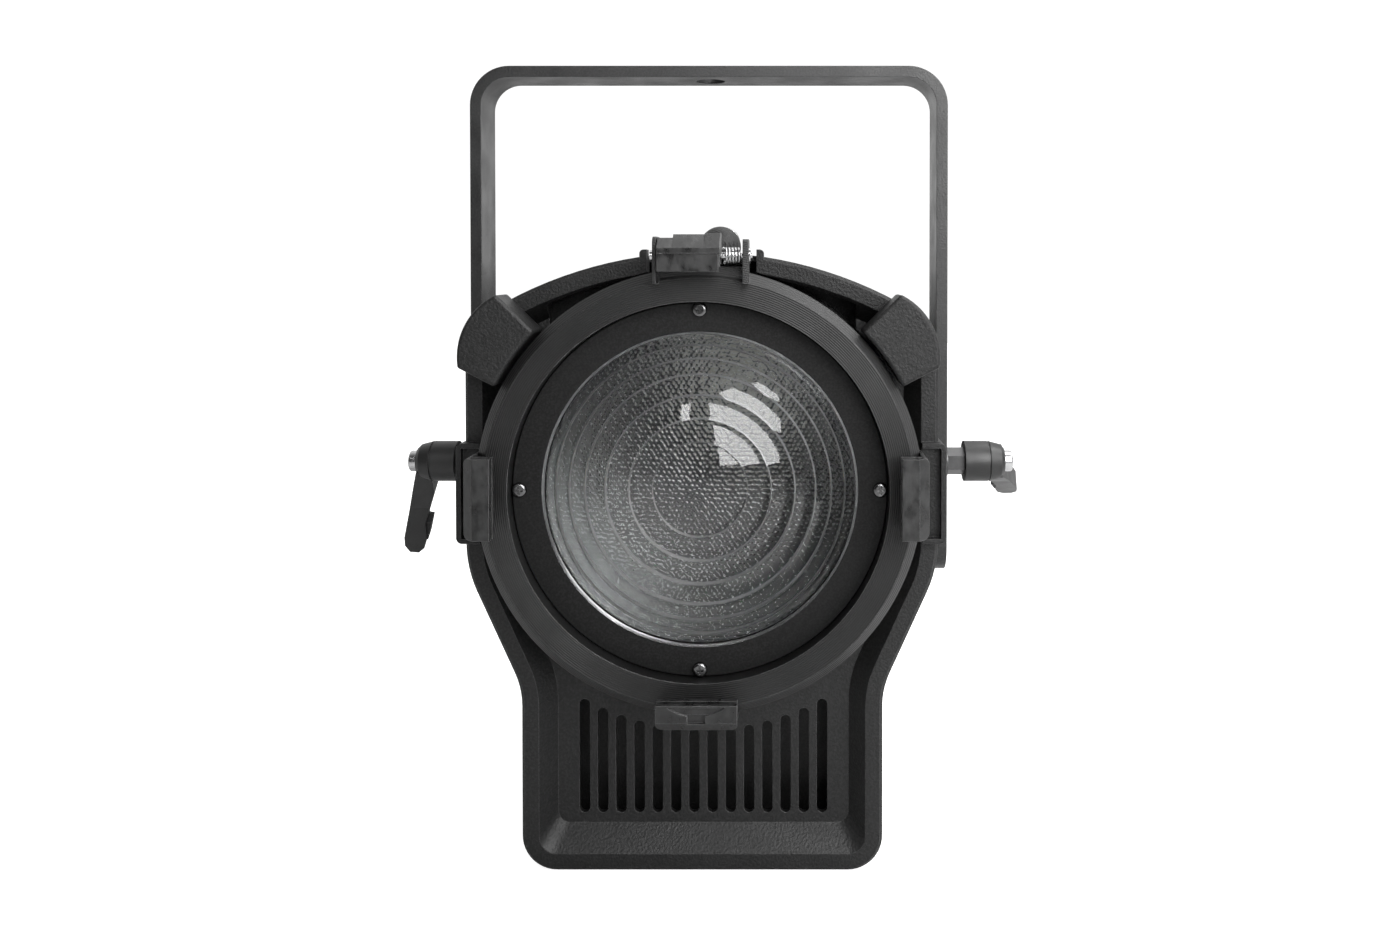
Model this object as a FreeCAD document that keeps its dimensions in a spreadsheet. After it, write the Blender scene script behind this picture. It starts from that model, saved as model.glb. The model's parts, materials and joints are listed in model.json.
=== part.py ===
import FreeCAD, Part
import math
import os
import Sketcher
from FreeCAD import Placement, Rotation, Vector

# Fresnel spotlight with a 150 mm lens, in millimetres. +Z is up and the lens looks along -Y.
# The origin is on the flat base, straight below the tilt axis. The lens axis and the tilt axis
# cross at (0, 0, axis_z), and every z below is measured from that crossing unless it says otherwise.

DOC = FreeCAD.newDocument("fresnel_spotlight")
SHEET = DOC.addObject("Spreadsheet::Sheet", "Sizes")
SUB_PARTS = []


# ---------------------------------------------------------------- sizes and formulas

class Size:
    """A length: its number, and the formula over the sheet's cells that gives it."""

    def __init__(self, number, text=None):
        self.number = float(number)
        self.text = text or repr(float(number))

    def joined(self, sign, other, number):
        return Size(number, "(%s %s %s)" % (self.text, sign, other.text))

    def __add__(self, other):
        other = size(other)
        return self.joined("+", other, self.number + other.number)

    def __sub__(self, other):
        other = size(other)
        return self.joined("-", other, self.number - other.number)

    def __mul__(self, other):
        other = size(other)
        return self.joined("*", other, self.number * other.number)

    def __truediv__(self, other):
        other = size(other)
        return self.joined("/", other, self.number / other.number)

    def __radd__(self, other):
        return size(other) + self

    def __rsub__(self, other):
        return size(other) - self

    def __rmul__(self, other):
        return size(other) * self

    def __neg__(self):
        return Size(-self.number, "(-1 * %s)" % self.text)


def size(value):
    return value if isinstance(value, Size) else Size(value)


def root(value):
    return Size(math.sqrt(value.number), "sqrt(%s)" % value.text)


def dim(name, number, meaning):
    """Write one driving dimension into the sheet and return it."""
    row = dim.row = getattr(dim, "row", 0) + 1
    SHEET.set("A%d" % row, meaning)
    SHEET.set("B%d" % row, str(number))
    SHEET.setAlias("B%d" % row, name)
    return Size(number, "Sizes." + name)


# Housing: an outline in the X-Z plane, carried from the rim back to the rear cover
AXIS_Z = dim("axis_z", 191, "lens axis and tilt axis above the base")
UPPER_HALF = dim("upper_half", 116, "half width beside the lens")
LOWER_HALF = dim("lower_half", 88.8, "half width of the lower body")
TAPER_TOP = dim("taper_top", 41.5, "upper corner of the taper, below the lens axis")
TAPER_FOOT = dim("taper_foot", 101, "lower corner of the taper, below the lens axis")
TAPER_TOP_ROUND = dim("taper_top_round", 60, "rounding of the upper corner")
TAPER_FOOT_ROUND = dim("taper_foot_round", 40, "rounding of the lower corner")
FOOT_ROUND = dim("foot_round", 17, "rounding of the base corners")
SHOULDER = dim("shoulder_arc", 134, "radius of the shoulders about the lens axis")
CROWN = dim("crown_arc", 202, "radius of the crown")
CROWN_DROP = dim("crown_drop", 88, "centre of the crown arc below the lens axis")
RIM_Y = dim("rim_front", -71, "front face of the rim")
RIM_EDGE = dim("rim_edge", 1.5, "bevel of the rim's outer edge")
RIM_BAND = dim("rim_band", 8.5, "width of the rim")
RECESS_Y = dim("recess_floor", -62, "floor of the recess")
RECESS_SIDE = dim("recess_side", 16.3, "floor edge in from the side")
RECESS_FOOT = dim("recess_foot", 20, "floor edge up from the base")
WALL = dim("wall_thick", 3, "wall of the cast front housing")
SHEET_WALL = dim("sheet_wall", 2.8, "wall of the main housing and rear cover")
STEP_IN = dim("step_in", 1.2, "main housing stands this far inside the front housing")
FRONT_END_Y = dim("front_end", -36, "joint of the front and main housings")
MAIN_END_Y = dim("main_end", 143, "joint of the main housing and rear cover")
REAR_EDGE_Y = dim("rear_edge", 164, "start of the rear bevel")
REAR_Y = dim("rear_face", 170, "rear face")
LENS_HOLE = dim("lens_hole", 107.5, "radius of the opening round the lens ring")
CROWN_GAP = dim("crown_gap", 76, "half width of the deep gap over the lens ring")
LATCH_NOTCH = dim("latch_notch", 26.8, "half width of the notch for the latch")
PAD_X = dim("pad_face", 119.2, "face of the pivot pads")
PAD_TOP = dim("pad_top", 21, "top of the pivot pads")
PAD_FOOT = dim("pad_foot", 28, "foot of the pivot pads, below the axis")
PAD_FRONT = dim("pad_front", -76, "front of the pivot pads")
PAD_REAR = dim("pad_rear", 30, "rear of the pivot pads")
VENT_WIDTH = dim("vent_width", 5.2, "width of a cooling slot")
VENT_PITCH = dim("vent_pitch", 9.12, "pitch of the cooling slots")
VENT_FOOT = dim("vent_foot", 166, "lower end of the front slots, below the lens axis")
VENT_ARC = dim("vent_arc", 124, "arc that the front slots' upper ends follow")
VENT_COUNT = 14

# Lens group
LENS_R = dim("lens_radius", 74.6, "clear radius of the lens")
BEZEL_R = dim("bezel_radius", 90, "outer radius of the bezel")
BEZEL_Y = dim("bezel_front", -84, "front of the bezel")
BEZEL_THICK = dim("bezel_thick", 3, "thickness of the bezel")
SCREW_CIRCLE = dim("screw_circle", 86.4, "radius of the bezel screws' circle")
RING_Y = dim("ring_front", -93, "front of the lens ring")
RING_FLAT = dim("ring_flat", 101.9, "outer radius of the ring's flat front")
RING_R = dim("ring_radius", 106.4, "outer radius of the lens ring")
RING_END_Y = dim("ring_end", -60, "rear of the lens ring")
LENS_CURVE = dim("lens_curve", 90, "radius of curvature of the lens steps")
LENS_VALLEY_Y = dim("lens_valley", -81.4, "deepest line of the lens steps")
LENS_STEPS = (0.305, 0.455, 0.605, 0.737, 0.838, 0.925, 0.995)

# Accessory holders and latch
HOLDER_Y = dim("holder_front", -110, "front of the accessory holders and latch")
HOLDER_R = dim("holder_radius", 107.4, "outer face of a holder from the lens axis")
HOLDER_LIP = dim("holder_lip", 94.4, "inner edge of a holder's plates")
HOLDER_HALF = dim("holder_half", 18.8, "half width of a holder")
HOLDER_PLATE = dim("holder_plate", 3, "front plate and wall of a holder")
HOLDER_BEVEL = dim("holder_bevel", 5, "bevel between a holder's front plate and wall")
FRAME_GAP = dim("frame_gap", 3, "front channel of a holder, for a colour frame")
MID_PLATE = dim("mid_plate", 2.4, "plate between a holder's two channels")
HOLDER_ANGLES = (0, 180, 270)
HOLDER_SCREWS = (-13, 13)
PIN_Y = dim("pin_y", -97, "latch hinge pin")
PIN_Z = dim("pin_z", 112, "latch hinge pin above the lens axis")
PIN_R = dim("pin_radius", 1.5, "radius of the hinge pin")

# Yoke and clamping levers
YOKE_IN = dim("yoke_inside", 122, "inner face of a yoke arm")
YOKE_THICK = dim("yoke_thick", 6, "thickness of the flat bar")
YOKE_WIDE = dim("yoke_wide", 30, "width of the flat bar")
YOKE_TOP = dim("yoke_top", 214.5, "top of the yoke above the tilt axis")
YOKE_BEND = dim("yoke_bend", 15, "inner radius of the bends")
YOKE_FOOT = dim("yoke_foot", 44, "centre of an arm's rounded end, below the tilt axis")
YOKE_HOLE = dim("yoke_hole", 8, "radius of the hanging hole")
STUD_R = dim("stud_radius", 4, "radius of the clamping stud")
COLLAR_END = dim("collar_end", 139, "outer face of the hexagon collar")
HUB_R = dim("hub_radius", 11, "radius of the lever hub")
HUB_GROOVE = dim("hub_groove", 13, "groove in the hub, outwards of the collar")
HUB_END = dim("hub_end", 161, "outer end of the lever hub")
LEVER_REACH = dim("lever_reach", 70, "lever tip from the tilt axis")
LEVER_HALF = dim("lever_half", 5.5, "half thickness of the lever's arm")
LEFT_LEVER_ANGLE = 36
RIGHT_LEVER_ANGLE = 69

# Lamp carriage
ROD_X = dim("rod_x", 92, "guide rods from the middle")
ROD_Z = dim("rod_z", -48, "guide rods from the lens axis")
ROD_R = dim("rod_radius", 4, "radius of a guide rod")
BULKHEAD = dim("bulkhead_thick", 2, "thickness of the bulkheads")
LAMP_Y = dim("lamp_plate", 56, "front of the carriage plate, focused to spot")
FIN_DEPTH = dim("fin_depth", 40, "depth of the heat sink's fins")
FAN_HALF = dim("fan_half", 46, "half width of the fan")
FAN_DEPTH = dim("fan_depth", 20, "depth of the fan")
KNOB_Y = dim("knob_y", 94, "zoom knob, focused to spot")
KNOB_R = dim("knob_radius", 13, "radius of the zoom knob")
KNOB_Z = dim("knob_z", 119.5, "centre of the zoom knob's dome above the lens axis")
ZOOM_TRAVEL = dim("zoom_travel", 50, "travel from spot to flood")

# Rear panel and safety eye
EYE_Y = dim("eye_y", 152, "safety eye")
EYE_STUD_R = dim("eye_stud", 3, "radius of the safety eye's stud")
PANEL_HALF = dim("panel_half", 80, "half width of the rear panel")
PANEL_TOP = dim("panel_top", -58, "top of the rear panel from the lens axis")
PANEL_FOOT = dim("panel_foot", -178, "foot of the rear panel from the lens axis")
PANEL_THICK = dim("panel_thick", 2, "thickness of the rear panel")
BUTTON_Z = dim("button_z", -106, "row of buttons from the lens axis")
BUTTON_R = dim("button_radius", 4.5, "radius of a button")
SOCKET_Z = dim("socket_z", -148, "row of sockets from the lens axis")


# ---------------------------------------------------------------- building blocks

def bind(obj, **sizes):
    for name, value in sizes.items():
        obj.setExpression(name, size(value).text)
    return obj


def place(obj, x=0, y=0, z=0, turn=None):
    """Put an object at a point, z measured from the lens axis, after an optional turn."""
    if turn is not None:
        obj.Placement = Placement(Vector(), turn)
    for name, value in (("x", x), ("y", y), ("z", AXIS_Z + z)):
        obj.setExpression("Placement.Base." + name, size(value).text)
    return obj


def turn_about_centre(obj, turn):
    """Turn a finished shape about the crossing of the lens and tilt axes."""
    shift = Vector(0, 0, 1) - turn.multVec(Vector(0, 0, 1))
    obj.Placement = Placement(Vector(), turn)
    for name, part in (("x", shift.x), ("y", shift.y), ("z", shift.z)):
        obj.setExpression("Placement.Base." + name, (AXIS_Z * part).text)
    return obj


def block(x, y, z):
    """A box from its (low, high) pairs."""
    obj = DOC.addObject("Part::Box", "block")
    bind(obj, Length=size(x[1]) - x[0], Width=size(y[1]) - y[0], Height=size(z[1]) - z[0])
    return place(obj, x[0], y[0], z[0])


ALONG = {
    "X": Rotation(Vector(0, 1, 0), 90),
    "Y": Rotation(Vector(1, 0, 0), -90),
    "Z": Rotation(),
}


def along_axis(obj, axis, start, centre):
    """Stand an upright primitive along X, Y or Z; centre gives its other two coordinates in order."""
    spot = {
        "X": (start,) + tuple(centre),
        "Y": (centre[0], start, centre[1]),
        "Z": tuple(centre) + (start,),
    }
    return place(obj, *spot[axis], turn=ALONG[axis])


def rod(radius, axis, span, centre=(0, 0)):
    obj = DOC.addObject("Part::Cylinder", "rod")
    bind(obj, Radius=radius, Height=size(span[1]) - span[0])
    return along_axis(obj, axis, span[0], centre)


def tube(outer, inner, axis, span, centre=(0, 0)):
    return cut(rod(outer, axis, span, centre), rod(inner, axis, span, centre))


def hexagon(across_corners, axis, span, centre=(0, 0)):
    obj = DOC.addObject("Part::Prism", "hexagon")
    obj.Polygon = 6
    bind(obj, Circumradius=across_corners / 2, Height=size(span[1]) - span[0])
    return along_axis(obj, axis, span[0], centre)


def mirrored_span(side, low, high):
    """The span from low to high on the right (side 1), or its mirror image on the left (side -1)."""
    return (low, high) if side > 0 else (-size(high), -size(low))


def group(*solids):
    obj = DOC.addObject("Part::Compound", "group")
    obj.Links = list(solids)
    return obj


def fuse(*solids):
    obj = DOC.addObject("Part::MultiFuse", "fuse")
    obj.Shapes = list(solids)
    return obj


def cut(base, *tools):
    obj = DOC.addObject("Part::Cut", "cut")
    obj.Base = base
    obj.Tool = tools[0] if len(tools) == 1 else fuse(*tools)
    return obj


def common(first, second):
    obj = DOC.addObject("Part::Common", "common")
    obj.Base = first
    obj.Tool = second
    return obj


def rounded(base, radius, wanted):
    """Round the edges for which wanted(edge) is true."""
    DOC.recompute()
    obj = DOC.addObject("Part::Fillet", "rounded")
    obj.Base = base
    radius = size(radius).number
    obj.Edges = [(i + 1, radius, radius) for i, edge in enumerate(base.Shape.Edges) if wanted(edge)]
    return obj


def runs(axis, low=None):
    """Test for straight edges along an axis, with their middle above a z (from the lens axis)."""
    direction = {"X": Vector(1, 0, 0), "Y": Vector(0, 1, 0), "Z": Vector(0, 0, 1)}[axis]

    def wanted(edge):
        if edge.Curve.TypeId != "Part::GeomLine":
            return False
        if abs(abs(edge.Curve.Direction.dot(direction)) - 1) > 1e-6:
            return False
        return low is None or edge.CenterOfMass.z > AXIS_Z.number + size(low).number
    return wanted


def outline_sketch(body, corners):
    """A closed polygon whose corners are tied to the sketch's origin by bound distances."""
    plane = next(f for f in body.Origin.OriginFeatures if f.Role == "XY_Plane")
    sketch = body.newObject("Sketcher::SketchObject", "outline")
    sketch.AttachmentSupport = [(plane, "")]
    sketch.MapMode = "FlatFace"
    corners = [(size(u), size(v)) for u, v in corners]
    points = [Vector(u.number, v.number, 0) for u, v in corners]
    count = len(points)
    for i in range(count):
        sketch.addGeometry(Part.LineSegment(points[i], points[(i + 1) % count]), False)
    for i in range(count):
        sketch.addConstraint(Sketcher.Constraint("Coincident", i, 2, (i + 1) % count, 1))
    for i, (u, v) in enumerate(corners):
        tie_to_origin(sketch, "DistanceX", i, u, -2)
        tie_to_origin(sketch, "DistanceY", i, v, -1)
    return sketch


def tie_to_origin(sketch, kind, line, value, axis):
    if abs(value.number) < 1e-9:
        sketch.addConstraint(Sketcher.Constraint("PointOnObject", line, 1, axis))
        return
    if value.number > 0:
        index = sketch.addConstraint(Sketcher.Constraint(kind, -1, 1, line, 1, value.number))
        sketch.setExpression("Constraints[%d]" % index, value.text)
    else:
        index = sketch.addConstraint(Sketcher.Constraint(kind, line, 1, -1, 1, -value.number))
        sketch.setExpression("Constraints[%d]" % index, (-value).text)


TURNED = {
    "X": Rotation(Vector(0, 0, 1), -90),
    "Y": Rotation(),
    "Z": Rotation(Vector(1, 0, 0), 90),
}


def turned(profile, axis="Y", at=(0, 0, 0)):
    """A body turned about an axis, from (radius, distance along the axis) corners."""
    body = DOC.addObject("PartDesign::Body", "turned")
    sketch = outline_sketch(body, profile)
    revolution = body.newObject("PartDesign::Revolution", "revolution")
    revolution.Profile = sketch
    revolution.ReferenceAxis = (sketch, ["V_Axis"])
    revolution.Angle = 360
    return place(body, *at, turn=TURNED[axis])


# The sketch's two directions and the pad's direction, for a pad along each axis
PADDED = {
    "X": Rotation(Vector(1, 1, 1), 120),
    "Y": Rotation(Vector(1, 0, 0), 90),
    "Z": Rotation(),
}


def padded(corners, axis, span):
    """A body padded along X from (y, z) corners, along Y from (x, z), or along Z from (x, y)."""
    body = DOC.addObject("PartDesign::Body", "padded")
    sketch = outline_sketch(body, corners)
    pad = body.newObject("PartDesign::Pad", "pad")
    pad.Profile = sketch
    bind(pad, Length=size(span[1]) - span[0])
    spot = {"X": (span[0], 0, 0), "Y": (0, span[1], 0), "Z": (0, 0, span[0])}[axis]
    return place(body, *spot, turn=PADDED[axis])


def coil(mean_radius, wire_radius, length, turns, axis, start, centre=(0, 0)):
    """A helical spring along an axis."""
    path = DOC.addObject("Part::Helix", "coil_path")
    bind(path, Radius=mean_radius, Height=length, Pitch=size(length) / turns)
    path.SegmentLength = 1
    wire = DOC.addObject("Part::Circle", "wire_section")
    bind(wire, Radius=wire_radius)
    wire.Placement = Placement(Vector(size(mean_radius).number, 0, 0), Rotation(Vector(1, 0, 0), 90))
    wire.setExpression("Placement.Base.x", size(mean_radius).text)
    DOC.recompute()
    sweep = DOC.addObject("Part::Sweep", "coil")
    sweep.Sections = [wire]
    sweep.Spine = (path, ["Edge%d" % (i + 1) for i in range(len(path.Shape.Edges))])
    sweep.Solid = True
    sweep.Frenet = True
    return along_axis(sweep, axis, start, centre)


def cross_screw(head_radius, head_tall, shank_radius, shank_long, x, z, face_y, facing):
    """A cross-head screw along Y in a face at face_y; facing is -1 to the front, 1 to the rear."""
    head_end = size(face_y) + facing * size(head_tall)
    shank_end = size(face_y) - facing * size(shank_long)
    head = rod(head_radius, "Y", ordered(face_y, head_end), (x, z))
    dome = rounded(head, size(head_tall) * 0.7, lambda edge: is_rim(edge, head_end))
    shank = rod(shank_radius, "Y", ordered(face_y, shank_end), (x, z))
    depth = ordered(head_end - facing * size(head_tall) * 0.7, head_end + facing)
    arm = size(head_radius) * 0.55
    slit = size(head_radius) * 0.13
    upright = block((x - slit, x + slit), depth, (z - arm, z + arm))
    level = block((x - arm, x + arm), depth, (z - slit, z + slit))
    return cut(fuse(dome, shank), upright, level)


def ordered(first, second):
    first = size(first)
    second = size(second)
    return (first, second) if first.number < second.number else (second, first)


def is_rim(edge, y):
    return edge.Curve.TypeId == "Part::GeomCircle" and abs(edge.CenterOfMass.y - y.number) < 1e-6


def sub_part(name, obj):
    obj.Label = name
    SUB_PARTS.append((name, obj))


# ---------------------------------------------------------------- housing outline

def corner_arc(before, corner, after, radius):
    """Start, middle and end of the arc that rounds a corner."""
    to_before = (before - corner).normalize()
    to_after = (after - corner).normalize()
    half = to_before.getAngle(to_after) / 2
    bisector = (to_before + to_after).normalize()
    centre = corner + bisector * (radius / math.sin(half))
    reach = radius / math.tan(half)
    return corner + to_before * reach, centre - bisector * radius, corner + to_after * reach


def housing_outline(inset=0, foot_inset=None, y=0):
    """The housing's outline, moved inwards; the base line may be moved by another amount."""
    inset = size(inset).number
    foot_inset = inset if foot_inset is None else size(foot_inset).number
    upper = UPPER_HALF.number - inset
    lower = LOWER_HALF.number - inset
    run = UPPER_HALF.number - LOWER_HALF.number
    fall = TAPER_FOOT.number - TAPER_TOP.number
    lift = inset * math.tan(math.atan2(run, fall) / 2)
    shoulder = SHOULDER.number - inset
    crown = CROWN.number - inset
    drop = CROWN_DROP.number

    def point(x, z):
        return Vector(x, y, AXIS_Z.number + z)

    base = point(0, foot_inset - AXIS_Z.number)
    foot = point(lower, foot_inset - AXIS_Z.number)
    taper_foot = point(lower, lift - TAPER_FOOT.number)
    taper_top = point(upper, lift - TAPER_TOP.number)
    shoulder_foot = point(upper, math.sqrt(shoulder ** 2 - upper ** 2))
    meet_z = (crown ** 2 - shoulder ** 2 - drop ** 2) / (2 * drop)
    meet = point(math.sqrt(shoulder ** 2 - meet_z ** 2), meet_z)
    half_way = (math.acos(upper / shoulder) + math.asin(meet_z / shoulder)) / 2
    shoulder_mid = point(shoulder * math.cos(half_way), shoulder * math.sin(half_way))

    right = []
    last = base
    corners = (
        (foot, taper_foot, max(FOOT_ROUND.number - inset, 6)),
        (taper_foot, taper_top, TAPER_FOOT_ROUND.number + inset),
        (taper_top, shoulder_foot, TAPER_TOP_ROUND.number - inset),
    )
    for corner, after, radius in corners:
        start, middle, end = corner_arc(last, corner, after, radius)
        right.append(Part.LineSegment(last, start).toShape())
        right.append(Part.Arc(start, middle, end).toShape())
        last = end
    right.append(Part.LineSegment(last, shoulder_foot).toShape())
    right.append(Part.Arc(shoulder_foot, shoulder_mid, meet).toShape())
    left = [edge.mirror(Vector(), Vector(1, 0, 0)) for edge in right]
    top = point(0, crown - drop)
    across = Part.Arc(meet, top, Vector(-meet.x, meet.y, meet.z)).toShape()
    return Part.Wire(Part.__sortEdges__(right + [across] + left))


def outline(inset=0, foot_inset=None, y=0):
    obj = DOC.addObject("Part::Feature", "housing_outline")
    obj.Shape = housing_outline(inset, foot_inset, size(y).number)
    return obj


def slab(inset, span):
    """The housing's outline, moved inwards, padded from front to rear."""
    obj = DOC.addObject("Part::Extrusion", "slab")
    obj.Base = outline(inset)
    obj.DirMode = "Custom"
    obj.Dir = Vector(0, 1, 0)
    obj.Solid = True
    bind(obj, LengthFwd=size(span[1]) - span[0])
    obj.setExpression("Placement.Base.y", size(span[0]).text)
    return obj


def slope(front, rear):
    """A solid between two outlines, each given as (inset, foot inset, y)."""
    obj = DOC.addObject("Part::Loft", "slope")
    obj.Sections = [outline(*front), outline(*rear)]
    obj.Solid = True
    obj.Ruled = True
    return obj


def slot(width, axis, span, x_or_y, z):
    """An upright slot with round ends, cut along Y at an x, or along X at a y."""
    half = size(width) / 2
    side = (x_or_y - half, x_or_y + half)
    straight = (z[0] + half, z[1] - half)
    middle = block(side, span, straight) if axis == "Y" else block(span, side, straight)
    ends = [rod(half, axis, span, (x_or_y, end)) for end in straight]
    return fuse(middle, *ends)


# ---------------------------------------------------------------- casings

def pivot_pad(side, span):
    pad = block(mirrored_span(side, LENS_HOLE, PAD_X), span, (-PAD_FOOT, PAD_TOP))
    return rounded(pad, 3, lambda edge: runs("Y")(edge) and abs(edge.CenterOfMass.x) > PAD_X.number - 1)


def pad_hollow(side):
    """The hollow in the front end of a pivot pad, which leaves a narrow border on three sides."""
    border = 2.5
    across = mirrored_span(side, LENS_HOLE - 1, PAD_X - border)
    return block(across, (PAD_FRONT - 1, PAD_FRONT + 4), (border - PAD_FOOT, PAD_TOP - border))


def notch_lip(side):
    """The raised border at one side of the latch's notch, with a rounded outer corner."""
    lip = 3.6
    lip_top = PIN_Z + 3.3
    post = block(mirrored_span(side, LATCH_NOTCH, LATCH_NOTCH + lip), (RIM_Y, RECESS_Y), (100, lip_top))
    return rounded(post, 2, lambda edge: runs("Y", low=lip_top - 1)(edge)
                   and abs(edge.CenterOfMass.x) > LATCH_NOTCH.number + 1)


def front_vents():
    vents = []
    for i in range(VENT_COUNT):
        x = VENT_PITCH * (i - (VENT_COUNT - 1) / 2)
        top = -root(VENT_ARC * VENT_ARC - x * x)
        vents.append(slot(VENT_WIDTH, "Y", (RECESS_Y - 1, RECESS_Y + WALL + 1), x, (-VENT_FOOT, top)))
    return vents


def front_housing():
    edge = slope((RIM_EDGE, RIM_EDGE, RIM_Y), (0, 0, RIM_Y + RIM_EDGE))
    shell = slab(0, (RIM_Y + RIM_EDGE, FRONT_END_Y))
    lips = [notch_lip(side) for side in (-1, 1)]
    pads = [pivot_pad(side, (PAD_FRONT, FRONT_END_Y)) for side in (-1, 1)]
    hollows = [pad_hollow(side) for side in (-1, 1)]
    solid = fuse(edge, shell, *lips, *pads)
    cavity = slab(WALL, (RECESS_Y + WALL, FRONT_END_Y + 1))
    recess = slope((RIM_BAND, RIM_BAND, RIM_Y), (RECESS_SIDE, RECESS_FOOT, RECESS_Y))
    round_hole = rod(LENS_HOLE, "Y", (PAD_FRONT - 1, RECESS_Y + WALL + 1))
    gap = common(slab(RIM_BAND + 1.5, (RIM_Y - 1, RECESS_Y + WALL + 1)),
                 block((-CROWN_GAP, CROWN_GAP), (RIM_Y - 1, RECESS_Y + WALL + 1), (60, 130)))
    notch = block((-LATCH_NOTCH, LATCH_NOTCH), (RIM_Y - 1, RECESS_Y + WALL), (95, 125))
    sub_part("front_housing", cut(solid, cavity, recess, round_hole, gap, notch, *hollows, *front_vents()))


def main_housing():
    outer = slab(STEP_IN, (FRONT_END_Y, MAIN_END_Y))
    pads = [pivot_pad(side, (FRONT_END_Y, PAD_REAR)) for side in (-1, 1)]
    foot = block((-60, 60), (FRONT_END_Y + 12, 120), (-AXIS_Z, STEP_IN + 1 - AXIS_Z))
    cavity = slab(STEP_IN + SHEET_WALL, (FRONT_END_Y - 1, MAIN_END_Y + 1))
    slot_half = 3.6
    knob_slot = block((-slot_half, slot_half), (KNOB_Y - ZOOM_TRAVEL - slot_half, KNOB_Y + slot_half), (100, 120))
    tools = [cavity, knob_slot]
    for side in (-1, 1):
        tools.append(rod(7, "X", mirrored_span(side, 90, 125)))
        for i in range(9):
            wall = mirrored_span(side, LOWER_HALF - 8, LOWER_HALF + 2)
            tools.append(slot(4, "X", wall, size(20 + 12 * i), (size(-172), size(-122))))
    sub_part("main_housing", cut(fuse(outer, foot, *pads), *tools))


REAR_SCREWS = ((100, 40), (100, -30), (45, 90))


def rear_cover():
    outer = slab(STEP_IN, (MAIN_END_Y, REAR_EDGE_Y))
    bevel_in = STEP_IN + (REAR_Y - REAR_EDGE_Y)
    bevel = slope((STEP_IN, STEP_IN, REAR_EDGE_Y), (bevel_in, bevel_in, REAR_Y))
    back_inside = REAR_Y - SHEET_WALL
    cavity = slab(bevel_in + 1, (MAIN_END_Y - 1, back_inside))
    wide_cavity = slab(STEP_IN + SHEET_WALL, (MAIN_END_Y - 1, REAR_EDGE_Y - 2))
    window = block((-PANEL_HALF + 6, PANEL_HALF - 6), (REAR_EDGE_Y, REAR_Y + 1), (PANEL_FOOT + 7, PANEL_TOP - 7))
    grille_radius = 66
    vents = []
    for i in range(VENT_COUNT):
        x = VENT_PITCH * (i - (VENT_COUNT - 1) / 2)
        reach = root(grille_radius * grille_radius - x * x)
        low = size(-44) if reach.number > 44 else -reach
        vents.append(slot(VENT_WIDTH, "Y", (back_inside - 1, REAR_Y + 1), x, (low, reach)))
    eye_hole = rod(EYE_STUD_R, "Z", (100, 120), (0, EYE_Y))
    panel_holes = [rod(1.5, "Y", (back_inside - 1, REAR_Y + 1), spot) for spot in panel_screw_spots()]
    shell = cut(fuse(outer, bevel), cavity, wide_cavity, window, eye_hole, *vents, *panel_holes)
    posts = []
    for x, z in REAR_SCREWS:
        for side in (-1, 1):
            posts.append(tube(4.5, 2.2, "Y", (MAIN_END_Y - BULKHEAD, back_inside), (side * x, z)))
    holes = [rod(2.2, "Y", (back_inside - 1, REAR_Y + 1), (side * x, z)) for x, z in REAR_SCREWS for side in (-1, 1)]
    sub_part("rear_cover", cut(fuse(shell, *posts), *holes))


def housing_screws():
    screws = []
    for x, z in REAR_SCREWS:
        for side in (-1, 1):
            screws.append(cross_screw(3.8, 2.4, 2, 30, size(side * x), size(z), REAR_Y, 1))
    sub_part("housing_screws", group(*screws))


def shoulder_blocks():
    """Two raised blocks beside the ring: radial ends, and an outer side that bulges."""
    first = 27.5
    sweep = 17
    bulge_x = 81
    bulge_z = 64
    bulge_radius = 33
    sides = (("right_shoulder_block", 1, first), ("left_shoulder_block", -1, 180 - first - sweep))
    for name, side, start in sides:
        sector = DOC.addObject("Part::Cylinder", "sector")
        bind(sector, Radius=SHOULDER + 6, Height=RIM_Y - RING_Y)
        sector.Angle = sweep
        turn = Rotation(Vector(0, 1, 0), -start).multiply(Rotation(Vector(1, 0, 0), 90))
        place(sector, 0, RIM_Y, 0, turn=turn)
        bulge = rod(bulge_radius, "Y", (RING_Y, RIM_Y), (side * bulge_x, bulge_z))
        solid = cut(common(sector, bulge), rod(LENS_HOLE + 1, "Y", (RING_Y - 1, RIM_Y + 1)))
        sub_part(name, rounded(solid, 1.6, lambda edge: edge.BoundBox.YMin < RIM_Y.number - 1))


# ---------------------------------------------------------------- lens group

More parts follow.
